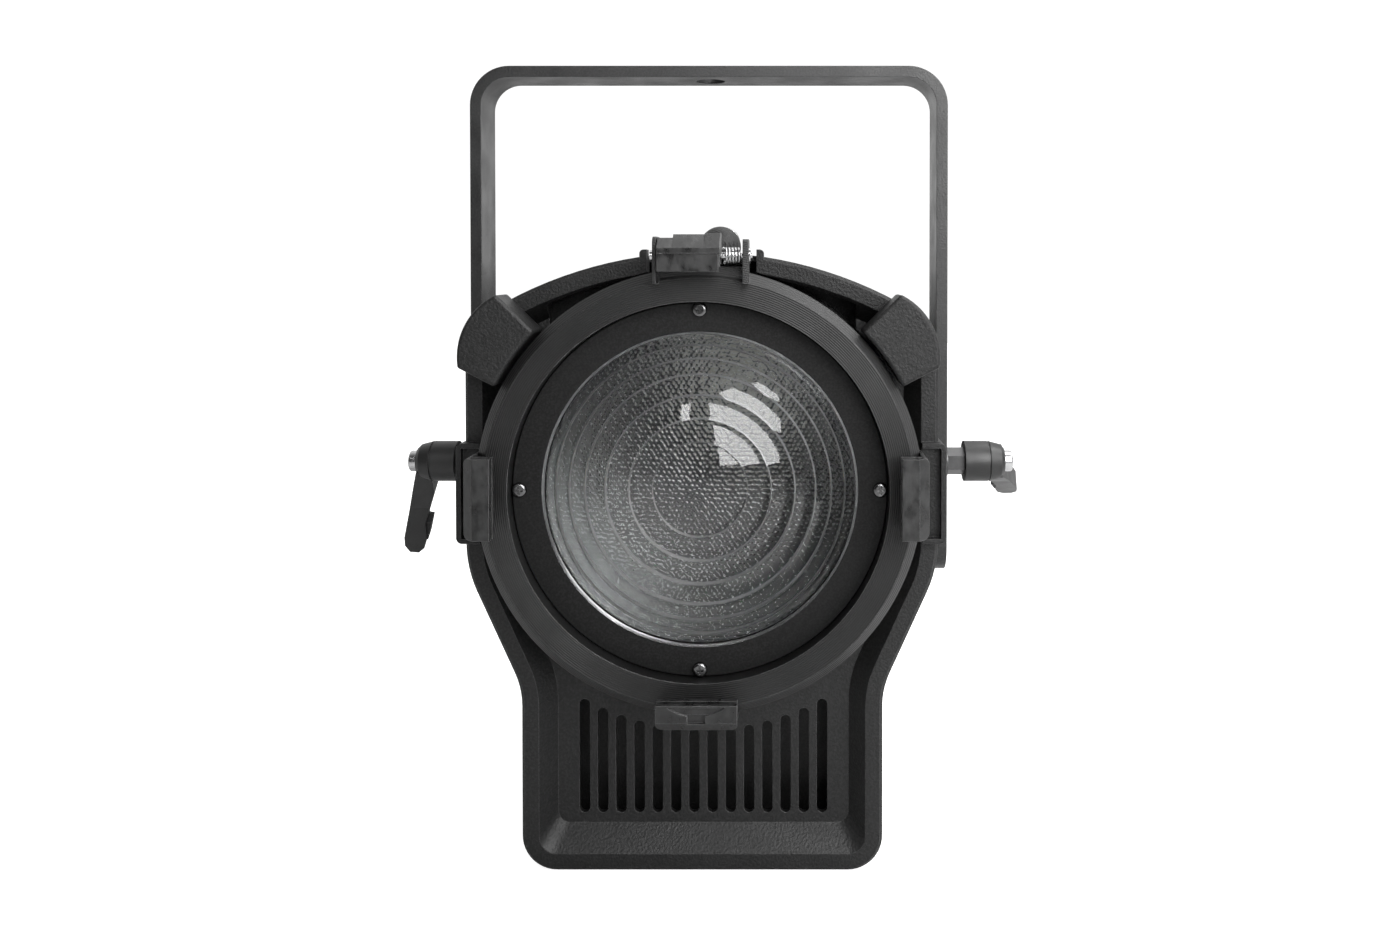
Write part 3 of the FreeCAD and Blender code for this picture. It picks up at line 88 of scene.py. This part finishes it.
def soft_light(name, direction, distance, width, height, radiance):
    """A rectangular soft light that faces the lens, given by what it looks like from there."""
    data = bpy.data.lights.new(name, "AREA")
    data.shape = "RECTANGLE"
    data.size = width
    data.size_y = height
    data.energy = radiance * math.pi * width * height
    obj = bpy.data.objects.new(name, data)
    aim = Vector(direction).normalized()
    obj.location = Vector((0, LENS_LOW.y, AXIS_Z)) + aim * distance
    obj.rotation_euler = aim.to_track_quat("Z", "Y").to_euler()
    obj.visible_camera = False
    bpy.context.scene.collection.objects.link(obj)
    return obj


def lights():
    """A window that shows as a reflection, softer lights that do the lighting, and two ceiling lamps."""
    window = soft_light(
        "window", (0.42, -0.80, 0.48), distance=1.6, width=1.15, height=1.35, radiance=11.0
    )
    ceiling_lamp = soft_light(
        "ceiling_lamp", (-0.100, -0.924, 0.368), distance=2.0, width=0.24, height=0.09, radiance=30.0
    )
    second_lamp = soft_light(
        "second_lamp", (-0.221, -0.754, 0.618), distance=2.0, width=0.18, height=0.36, radiance=12.0
    )
    for reflected_only in (window, ceiling_lamp, second_lamp):
        reflected_only.visible_diffuse = False
    key = soft_light(
        "key_light", (0.95, -0.58, 0.52), distance=0.75, width=0.5, height=0.6, radiance=5.0
    )
    key.visible_glossy = False
    soft_light("side_light", (0.72, 0.02, 0.70), distance=1.1, width=0.5, height=0.7, radiance=7.0)
    soft_light("top_light", (0.25, 0.25, 1.0), distance=1.4, width=1.2, height=0.8, radiance=3.0)


ROOM_FRONT = 0.10
ROOM_REAR = 1.4
FADE_START = -0.45
FADE_END = 0.5
WHITE_SEEN = 1.05
PAPER_HALF = 4.0
PAPER_DROP = 0.05 * MM
PAPER_GLOW = 0.85


def surroundings():
    """White all round for the camera; for reflections a bright rear and a darker room in front."""
    world = bpy.data.worlds.new("studio")
    bpy.context.scene.world = world
    world.use_nodes = True
    tree = world.node_tree
    tree.nodes.clear()
    make = tree.nodes.new
    coords = make("ShaderNodeTexCoord")
    split = make("ShaderNodeSeparateXYZ")
    tree.links.new(coords.outputs["Generated"], split.inputs[0])
    rear = make("ShaderNodeMapRange")
    rear.inputs["From Min"].default_value = FADE_START
    rear.inputs["From Max"].default_value = FADE_END
    rear.inputs["To Min"].default_value = ROOM_FRONT
    rear.inputs["To Max"].default_value = ROOM_REAR
    tree.links.new(split.outputs["Y"], rear.inputs["Value"])
    room = make("ShaderNodeBackground")
    tree.links.new(rear.outputs["Result"], room.inputs["Strength"])
    white = make("ShaderNodeBackground")
    white.inputs["Color"].default_value = (1, 1, 1, 1)
    white.inputs["Strength"].default_value = WHITE_SEEN
    path = make("ShaderNodeLightPath")
    mix = make("ShaderNodeMixShader")
    tree.links.new(path.outputs["Is Camera Ray"], mix.inputs["Fac"])
    tree.links.new(room.outputs[0], mix.inputs[1])
    tree.links.new(white.outputs[0], mix.inputs[2])
    out = make("ShaderNodeOutputWorld")
    tree.links.new(mix.outputs[0], out.inputs["Surface"])


def floor():
    """White paper that also glows for the camera, so that it meets the white background unseen."""
    mesh = bpy.data.meshes.new("floor")
    signs = ((-1, -1), (1, -1), (1, 1), (-1, 1))
    corners = [(across * PAPER_HALF, along * PAPER_HALF, 0) for across, along in signs]
    mesh.from_pydata(corners, [], [(0, 1, 2, 3)])
    obj = bpy.data.objects.new("floor", mesh)
    obj.location.z = -PAPER_DROP
    bpy.context.scene.collection.objects.link(obj)
    look = Look("floor_paper")
    look.colour(look.noise(3, 2), (0.80, 0.80, 0.80), (0.85, 0.85, 0.85))
    look.set("Roughness", 0.9)
    look.set("Emission Color", (1, 1, 1, 1))
    seen = look.add("ShaderNodeLightPath").outputs["Is Camera Ray"]
    look.set("Emission Strength", look.math("MULTIPLY", seen, PAPER_GLOW))
    mesh.materials.append(look.material)


# ---------------------------------------------------------------- shader helpers

class Look:
    """One principled material and short ways to add the nodes that vary it."""

    def __init__(self, name):
        self.material = bpy.data.materials.new(name)
        self.material.use_nodes = True
        self.tree = self.material.node_tree
        self.shader = self.tree.nodes["Principled BSDF"]
        self.place = self.add("ShaderNodeTexCoord").outputs["Object"]
        self.normal = None

    def add(self, kind, inputs=None, **settings):
        node = self.tree.nodes.new(kind)
        for key, value in settings.items():
            setattr(node, key, value)
        for key, value in (inputs or {}).items():
            self.feed(node.inputs[key], value)
        return node

    def feed(self, socket, value):
        if isinstance(value, bpy.types.NodeSocket):
            self.tree.links.new(value, socket)
        else:
            socket.default_value = value

    def set(self, key, value):
        self.feed(self.shader.inputs[key], value)

    def stretched(self, factors, shift=(0, 0, 0)):
        inputs = {"Vector": self.place, "Scale": factors, "Location": shift}
        return self.add("ShaderNodeMapping", inputs).outputs["Vector"]

    def noise(self, scale, detail, place=None):
        inputs = {"Vector": place or self.place, "Scale": scale, "Detail": detail}
        return self.add("ShaderNodeTexNoise", inputs).outputs["Fac"]

    def cells(self, scale, output="Distance"):
        inputs = {"Vector": self.place, "Scale": scale}
        return self.add("ShaderNodeTexVoronoi", inputs).outputs[output]

    def math(self, operation, a, b=0.0):
        return self.add("ShaderNodeMath", {0: a, 1: b}, operation=operation).outputs[0]

    def spread(self, value, low, high, start=0.3, end=0.7):
        """The value's range start to end, moved to low to high."""
        inputs = {
            "Value": value,
            "From Min": start,
            "From Max": end,
            "To Min": low,
            "To Max": high,
        }
        return self.add("ShaderNodeMapRange", inputs).outputs["Result"]

    def mixed(self, share, first, second):
        node = self.add("ShaderNodeMix", data_type="RGBA")
        self.feed(node.inputs["Factor"], share)
        for socket, value in ((node.inputs[6], first), (node.inputs[7], second)):
            self.feed(socket, value if isinstance(value, bpy.types.NodeSocket) else (*value, 1))
        return node.outputs[2]

    def colour(self, share, first, second):
        self.set("Base Color", self.mixed(share, first, second))

    def tint(self, share, colour):
        """Puts one more colour over what colours the surface so far."""
        below = self.shader.inputs["Base Color"].links[0].from_socket
        self.colour(share, below, colour)

    def radius(self, x, z):
        """Distance from the line through x and z along y, in metres."""
        split = self.add("ShaderNodeSeparateXYZ", {0: self.stretched((1, 1, 1), (-x, 0, -z))})
        squares = [self.math("MULTIPLY", split.outputs[i], split.outputs[i]) for i in (0, 2)]
        return self.math("SQRT", self.math("ADD", *squares))

    def bump(self, height, depth):
        """Adds relief of that depth in metres on top of what is there."""
        inputs = {"Height": height, "Distance": depth, "Strength": 1.0}
        if self.normal is not None:
            inputs["Normal"] = self.normal
        self.normal = self.add("ShaderNodeBump", inputs).outputs["Normal"]
        self.set("Normal", self.normal)

    def soft_edges(self, radius):
        """Rounds the shading of every edge, and gives a mask that is 1 on the edges."""
        bevel = self.add("ShaderNodeBevel", {"Radius": radius}, samples=4)
        self.normal = bevel.outputs["Normal"]
        self.set("Normal", self.normal)
        true = self.add("ShaderNodeNewGeometry").outputs["Normal"]
        dot = self.add("ShaderNodeVectorMath", {0: true, 1: self.normal}, operation="DOT_PRODUCT")
        return self.spread(dot.outputs["Value"], 1.0, 0.0, 0.80, 0.985)


def wave_scale(pitch):
    """What a wave texture's scale has to be for bands that far apart, in metres."""
    return math.tau / 20 / pitch


def grey(value):
    """A grey with a trace of blue."""
    return (value, value, value * 1.01)


# ---------------------------------------------------------------- materials

def coated(name, tone, grain_mm, depth_mm, rough, edge_mm=0.6, edge_wear_and_sheen_tone=0.12, spread=0.25,
           gloss=0.4, speckle=2.6):
    """Powder coat or paint: mottled tone, fine grain, uneven gloss and lighter edges, partly wear and
    partly a painted edge highlight.
    """
    look = Look(name)
    edge = look.soft_edges(edge_mm * MM)
    broad = look.noise(28, 4)
    fine = look.noise(1 / (grain_mm * MM), 3)
    base = look.mixed(broad, grey(tone * (1 - spread)), grey(tone * (1 + spread)))
    speck = look.spread(fine, 0.0, 1.0, 0.40, 0.70)
    grained = look.mixed(look.math("MULTIPLY", speck, 0.6), base, grey(tone * speckle))
    # Lighter edges: partly worn coat, partly a painted highlight for the light the rounded edges catch.
    wear_and_sheen = look.math("MULTIPLY", edge, look.spread(look.noise(160, 3), 0.35, 1.0, 0.35, 0.6))
    look.colour(wear_and_sheen, grained, grey(edge_wear_and_sheen_tone))
    uneven = look.spread(look.noise(55, 4), rough - 0.06, rough + 0.08)
    look.set("Roughness", look.math("SUBTRACT", uneven, look.math("MULTIPLY", wear_and_sheen, 0.12)))
    look.bump(fine, depth_mm * MM)
    look.set("Specular IOR Level", gloss)
    return look


def powder_coat():
    """Coarse powder coat of the cast housing pieces."""
    return coated("cast_black", 0.010, grain_mm=1.2, depth_mm=0.3, rough=0.50, gloss=0.26)


def sheet_coat():
    """Finer powder coat of the folded sheet metal."""
    return coated("sheet_black", 0.011, grain_mm=1.0, depth_mm=0.25, rough=0.48, gloss=0.3)


RING_BEVEL_R = 102.0 * MM
GROOVE_PITCH = 1.0 * MM
GROOVE_DEPTH = 0.14 * MM


def turned_coat():
    """Satin black on turned aluminium, with the tool's fine rings round the lens axis."""
    look = coated(
        "ring_black", 0.005, grain_mm=0.9, depth_mm=0.03, rough=0.44,
        edge_mm=0.8, edge_wear_and_sheen_tone=0.22, gloss=0.30, speckle=1.8,
    )
    bevel = look.math("GREATER_THAN", look.radius(0, AXIS_Z), RING_BEVEL_R)
    look.tint(look.math("MULTIPLY", bevel, 0.8), grey(0.026))
    centred = look.stretched((1, 1, 1), (0, 0, -AXIS_Z))
    scale = wave_scale(GROOVE_PITCH)
    rings = look.add(
        "ShaderNodeTexWave",
        {"Vector": centred, "Scale": scale, "Distortion": 0.4, "Detail": 1},
        wave_type="RINGS",
        rings_direction="Y",
    ).outputs["Fac"]
    patches = look.spread(look.noise(22, 2), 0.25, 1.0)
    grooves = look.math("MULTIPLY", rings, patches)
    look.tint(look.math("MULTIPLY", grooves, 0.5), grey(0.030))
    look.bump(grooves, GROOVE_DEPTH)
    return look


CHAMFER_R = 75.75 * MM
CHAMFER_Y = -82.85 * MM


def bezel_coat():
    """Dead matte black, with a bare machined chamfer round the lens."""
    look = coated(
        "bezel_black", 0.008, grain_mm=0.9, depth_mm=0.05, rough=0.60,
        edge_mm=0.25, edge_wear_and_sheen_tone=0.03, gloss=0.14,
    )
    inner = look.math("LESS_THAN", look.radius(0, AXIS_Z), CHAMFER_R)
    along = look.add("ShaderNodeSeparateXYZ", {0: look.place}).outputs[1]
    front = look.math("LESS_THAN", along, CHAMFER_Y)
    chamfer = look.math("MULTIPLY", inner, front)
    look.set("Metallic", chamfer)
    look.tint(chamfer, grey(0.50))
    look.set("Roughness", look.spread(chamfer, 0.60, 0.15, 0, 1))
    return look


def handled_coat():
    """Semi-gloss black on steel, with smudges, small scuffs and bright edges, partly wear and partly a
    painted edge highlight.
    """
    look = coated(
        "holder_black", 0.006, grain_mm=1.4, depth_mm=0.05, rough=0.40,
        edge_wear_and_sheen_tone=0.22, spread=0.6,
    )
    smudge = look.noise(150, 6, look.stretched((1.5, 1.0, 1.0)))
    look.tint(look.spread(smudge, 0.0, 0.7, 0.40, 0.72), grey(0.036))
    look.set("Roughness", look.spread(smudge, 0.26, 0.56, 0.35, 0.65))
    return look


def yoke_coat():
    """Smooth satin coat of the yoke, lighter at its edges, partly wear and partly a painted edge
    highlight.
    """
    return coated(
        "yoke_black", 0.014, grain_mm=1.0, depth_mm=0.12, rough=0.38,
        edge_mm=0.7, gloss=0.38,
    )


def moulded(name, tone, rough, grain_mm=0.5, depth_mm=0.05):
    """Moulded plastic or rubber with a sparked grain and faint flow marks."""
    look = Look(name)
    edge = look.soft_edges(0.4 * MM)
    flow = look.noise(40, 3, look.stretched((1, 1, 3)))
    base = look.mixed(flow, grey(tone * 0.8), grey(tone * 1.25))
    # Lighter edges: partly wear, partly a painted edge highlight.
    look.colour(look.math("MULTIPLY", edge, 0.6), base, grey(tone * 2.2))
    look.set("Roughness", look.spread(look.noise(70, 4), rough - 0.06, rough + 0.08))
    look.bump(look.noise(1 / (grain_mm * MM), 3), depth_mm * MM)
    return look


RIB_PITCH = 1.4 * MM
RIB_DEPTH = 0.10 * MM


def ribbed_knob():
    """Moulded knob with fine slanting ribs across its face."""
    look = moulded("knob_black", 0.004, rough=0.60)
    slanted = look.add(
        "ShaderNodeTexWave",
        {"Vector": look.place, "Scale": wave_scale(RIB_PITCH), "Distortion": 0.2},
        wave_type="BANDS",
        bands_direction="DIAGONAL",
    ).outputs["Fac"]
    look.bump(slanted, RIB_DEPTH)
    return look


def panel_coat():
    """Fine-grained coat of the rear panel."""
    return coated("panel_black", 0.022, grain_mm=0.5, depth_mm=0.08, rough=0.5, edge_mm=0.3)


def rubber():
    """Dull black rubber of the gasket and the lever pads."""
    return moulded("gasket_rubber", 0.012, grain_mm=0.35, depth_mm=0.04, rough=0.68)


def fibre():
    """Pressed fibre of the friction washers, with strands along x."""
    look = Look("washer_fibre")
    strands = look.noise(900, 4, look.stretched((0.2, 1, 1)))
    look.colour(strands, grey(0.05), grey(0.11))
    look.set("Roughness", look.spread(strands, 0.7, 0.9))
    look.bump(strands, 0.08 * MM)
    return look


def metal(name, dark, light, rough, brush=(1, 1, 1), scale=700):
    """Bare or plated metal with tool marks along the brush direction and faint staining."""
    look = Look(name)
    look.soft_edges(0.2 * MM)
    marks = look.noise(scale, 3, look.stretched(brush))
    stain = look.noise(60, 4)
    both = look.math("MULTIPLY", look.math("ADD", marks, stain), 0.5)
    look.colour(both, dark, light)
    look.set("Metallic", 1.0)
    look.set("Roughness", look.spread(both, rough - 0.07, rough + 0.09))
    look.bump(marks, 0.01 * MM)
    return look


def spangled():
    """Zinc-plated sheet with its crystal pattern."""
    look = metal("supply_steel", grey(0.42), grey(0.62), 0.38, scale=400)
    crystal = look.cells(120, output="Color")
    tone = look.add("ShaderNodeRGBToBW", {0: crystal}).outputs[0]
    look.colour(tone, grey(0.40), grey(0.66))
    look.set("Roughness", look.spread(tone, 0.28, 0.48, 0, 1))
    return look


def circuit():
    """Solder mask over fine tracks."""
    look = Look("board_green")
    tracks = look.add(
        "ShaderNodeTexBrick",
        {"Vector": look.place, "Scale": 220, "Mortar Size": 0.012},
        offset=0.5,
    ).outputs["Fac"]
    look.colour(tracks, (0.015, 0.10, 0.035), (0.04, 0.20, 0.08))
    look.set("Roughness", look.spread(look.noise(80, 3), 0.28, 0.42))
    look.bump(tracks, 0.05 * MM)
    return look


EMITTER_R = 11 * MM


def emitter_board():
    """Pale board with a slightly yellow phosphor disc in the middle."""
    look = Look("led_board")
    low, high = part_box("led_module")
    middle = (low + high) / 2
    disc = look.math("LESS_THAN", look.radius(middle.x, middle.z), EMITTER_R)
    grain = look.noise(500, 3)
    board = look.mixed(grain, (0.38, 0.38, 0.38), (0.5, 0.5, 0.5))
    phosphor = look.mixed(look.cells(1400), (0.34, 0.33, 0.29), (0.44, 0.43, 0.38))
    look.colour(disc, board, phosphor)
    look.set("Roughness", look.spread(grain, 0.4, 0.6))
    look.bump(grain, 0.03 * MM)
    return look


def smoked_window():
    """Dark glossy window of the display."""
    look = Look("display_glass")
    haze = look.noise(90, 4)
    look.colour(haze, (0.008, 0.010, 0.013), (0.016, 0.020, 0.024))
    look.set("Roughness", look.spread(haze, 0.05, 0.16))
    look.set("Coat Weight", 0.6)
    look.bump(look.noise(30, 2), 0.02 * MM)
    return look


def glass():
    """Clear pressed glass with faint ripple and a little dust."""
    look = Look("lens_glass")
    dust = look.spread(look.noise(260, 5), 0.0, 0.05, 0.5, 0.8)
    look.colour(dust, (0.95, 0.97, 0.97), (0.86, 0.88, 0.88))
    look.set("Transmission Weight", 1.0)
    look.set("IOR", 1.47)
    look.set("Roughness", look.spread(look.noise(45, 3), 0.0, 0.03))
    return look


def frosted():
    """The lens's risers, left dull by the mould."""
    look = Look("lens_riser")
    grain = look.noise(1500, 2)
    look.colour(grain, grey(0.30), grey(0.45))
    look.set("Transmission Weight", 0.5)
    look.set("IOR", 1.47)
    look.set("Roughness", look.spread(grain, 0.3, 0.5))
    look.bump(grain, 0.02 * MM)
    return look


MATERIALS = {
    "cast_black": powder_coat,
    "sheet_black": sheet_coat,
    "ring_black": turned_coat,
    "bezel_black": bezel_coat,
    "holder_black": handled_coat,
    "yoke_black": yoke_coat,
    "lens_glass": glass,
    "black_screw": lambda: metal("black_screw", grey(0.05), grey(0.22), 0.18, scale=900),
    "bright_steel": lambda: metal("bright_steel", grey(0.30), grey(0.62), 0.20, brush=(1, 0.3, 1)),
    "dark_steel": lambda: metal("dark_steel", grey(0.05), grey(0.11), 0.36),
    "lever_black": lambda: moulded("lever_black", 0.007, grain_mm=0.45, rough=0.46),
    "knob_black": ribbed_knob,
    "gasket_rubber": rubber,
    "washer_fibre": fibre,
    "brass": lambda: metal("brass", (0.55, 0.38, 0.16), (0.78, 0.58, 0.28), 0.28, brush=(0.3, 1, 1)),
    "bare_aluminium": lambda: metal("bare_aluminium", grey(0.06), grey(0.13), 0.45, brush=(1, 1, 0.1)),
    "rod_steel": lambda: metal("rod_steel", grey(0.6), grey(0.75), 0.16, brush=(1, 0.1, 1)),
    "board_green": circuit,
    "led_board": emitter_board,
    "reflector_silver": lambda: metal("reflector_silver", grey(0.11), grey(0.16), 0.30, brush=(1, 0.2, 1)),
    "fan_black": lambda: moulded("fan_black", 0.022, rough=0.5),
    "panel_black": panel_coat,
    "display_glass": smoked_window,
    "button_grey": lambda: moulded("button_grey", 0.09, rough=0.34),
    "socket_black": lambda: moulded("socket_black", 0.025, rough=0.36),
    "supply_steel": spangled,
}


def paint_everything():
    """Makes each finish once and gives every solid the one its record names."""
    made = {slot: make().material for slot, make in MATERIALS.items()}
    for name, obj in NODES.items():
        for slot in obj.material_slots:
            slot.material = made[SLOT_OF[name]]
    return made


# ---------------------------------------------------------------- lens

# Lengths are in millimetres. Each step is the outer radius of the dome or of a ring over LENS_R.
LENS_R = 74.6
RIM_GAP = 0.1
FLANGE_R = 79.0
VALLEY_Y = -81.4
SEAT_Y = -81.0
BACK_Y = -77.0
DOME_RADIUS = 90.0
STEPS = (0.305, 0.455, 0.605, 0.737, 0.838, 0.925, 0.995)
POINTS_PER_STEP = 8
RISER_FOOT = 0.02
RISER_SINK = 0.14
RISER_WIDTH = 0.14
PEBBLE_PITCH = 2.4
PEBBLE_HEIGHT = 0.5
PEBBLE_RADIUS = 0.66 * PEBBLE_PITCH
PEBBLE_WANDER = 0.12 * PEBBLE_PITCH
AROUND = 720
BACK_STEP = 0.5
SHARP_ANGLE = math.radians(38)
RISER_SLOPE = 0.3


def front_profile():
    """Radius and y of the domed centre and the stepped rings, in millimetres."""
    points = []
    inner = 0.0
    for share in STEPS:
        outer = LENS_R * share
        for i in range(POINTS_PER_STEP + 1):
            radius = inner + (outer - inner) * i / POINTS_PER_STEP
            rise = (outer * outer - radius * radius) / (2 * DOME_RADIUS)
            if i == 0 and inner > 0:
                points.append((radius + RISER_FOOT, VALLEY_Y - rise + RISER_SINK))
                radius += RISER_WIDTH
            points.append((radius, VALLEY_Y - rise))
        inner = outer
    return points


def wander(row, column):
    """How far a pebble stands off its place in the honeycomb; the same every time."""
    across = PEBBLE_WANDER * math.sin(12.9 * row + 78.2 * column)
    upward = PEBBLE_WANDER * math.sin(39.3 * row + 11.1 * column + 1.7)
    return across, upward


def pebble(x, z):
    """Height of the uneven honeycomb of small domes on the back of the lens."""
    row_pitch = PEBBLE_PITCH * math.sqrt(3) / 2
    nearest = PEBBLE_PITCH * PEBBLE_PITCH
    middle_row = round(z / row_pitch)
    for row in range(middle_row - 1, middle_row + 2):
        offset = 0.5 * PEBBLE_PITCH * (row % 2)
        middle_column = round((x - offset) / PEBBLE_PITCH)
        for column in range(middle_column - 1, middle_column + 2):
            off_x, off_z = wander(row, column)
            gap_x = x - column * PEBBLE_PITCH - offset - off_x
            gap_z = z - row * row_pitch - off_z
            nearest = min(nearest, gap_x * gap_x + gap_z * gap_z)
    return PEBBLE_HEIGHT * max(0.0, 1 - nearest / PEBBLE_RADIUS ** 2)


def lens_rings():
    """Radius, y and whether pebbled, for each circle of points from the front round to the back."""
    rings = [(radius, y, False) for radius, y in front_profile()[1:]]
    rings.append((LENS_R * STEPS[-1] + RIM_GAP, SEAT_Y, False))
    rings.append((FLANGE_R, SEAT_Y, False))
    rings.append((FLANGE_R, BACK_Y, False))
    radius = LENS_R
    while radius > BACK_STEP:
        rings.append((radius, BACK_Y, True))
        radius -= BACK_STEP
    return rings


def lens_points(rings):
    """The front's middle, the circles in their order, and the back's middle."""
    points = [(0, front_profile()[0][1], 0)]
    for radius, y, pebbled in rings:
        for i in range(AROUND):
            angle = math.tau * i / AROUND
            x = radius * math.cos(angle)
            z = radius * math.sin(angle)
            height = pebble(x, z) if pebbled else 0
            points.append((x, y + height, z))
    points.append((0, BACK_Y + pebble(0, 0), 0))
    return points


def lens_faces(ring_count):
    """A fan round each middle and four-sided faces between neighbouring circles."""
    last_ring = 1 + (ring_count - 1) * AROUND
    last_point = last_ring + AROUND
    faces = []
    for i in range(AROUND):
        after = (i + 1) % AROUND
        faces.append((0, 1 + i, 1 + after))
        for ring in range(ring_count - 1):
            near = 1 + ring * AROUND
            far = near + AROUND
            faces.append((near + i, far + i, far + after, near + after))
        faces.append((last_point, last_ring + after, last_ring + i))
    return faces


def lens(clear):
    """The glass: stepped front, plain rim and pebbled back, as one closed mesh of rings."""
    rings = lens_rings()
    points = [(x * MM, y * MM, z * MM + AXIS_Z) for x, y, z in lens_points(rings)]
    mesh = bpy.data.meshes.new("fresnel_lens_glass")
    mesh.from_pydata(points, [], lens_faces(len(rings)))
    mesh.validate()
    for polygon in mesh.polygons:
        polygon.use_smooth = True
    mesh.set_sharp_from_angle(angle=SHARP_ANGLE)
    mesh.materials.append(clear)
    mesh.materials.append(frosted().material)
    for polygon in mesh.polygons:
        riser = abs(polygon.normal.y) < RISER_SLOPE and polygon.center.y < SEAT_Y * MM
        polygon.material_index = int(riser)
    obj = bpy.data.objects.new("fresnel_lens_glass", mesh)
    bpy.context.scene.collection.objects.link(obj)
    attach(obj, "housing")
    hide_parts("fresnel_lens")


# ---------------------------------------------------------------- lever springs


def lever_spring(word, steel):
    """A copy of a lever's return spring, with its own mesh, attached to the lever's clamp."""
    solid = NODES[word + "_lever_spring"]
    obj = bpy.data.objects.new(word + "_return_coil", solid.data.copy())
    obj.matrix_world = solid.matrix_world
    obj.data.materials.clear()
    obj.data.materials.append(steel)
    bpy.context.scene.collection.objects.link(obj)
    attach(obj, word + "_clamp")
    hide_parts(word + "_lever_spring")
    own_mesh(obj)


# ---------------------------------------------------------------- everything


camera()
surroundings()
lights()
floor()
finishes = paint_everything()
lens(finishes["lens_glass"])
lever_spring("left", finishes["bright_steel"])
lever_spring("right", finishes["bright_steel"])
bpy.context.scene.view_settings.view_transform = "Standard"
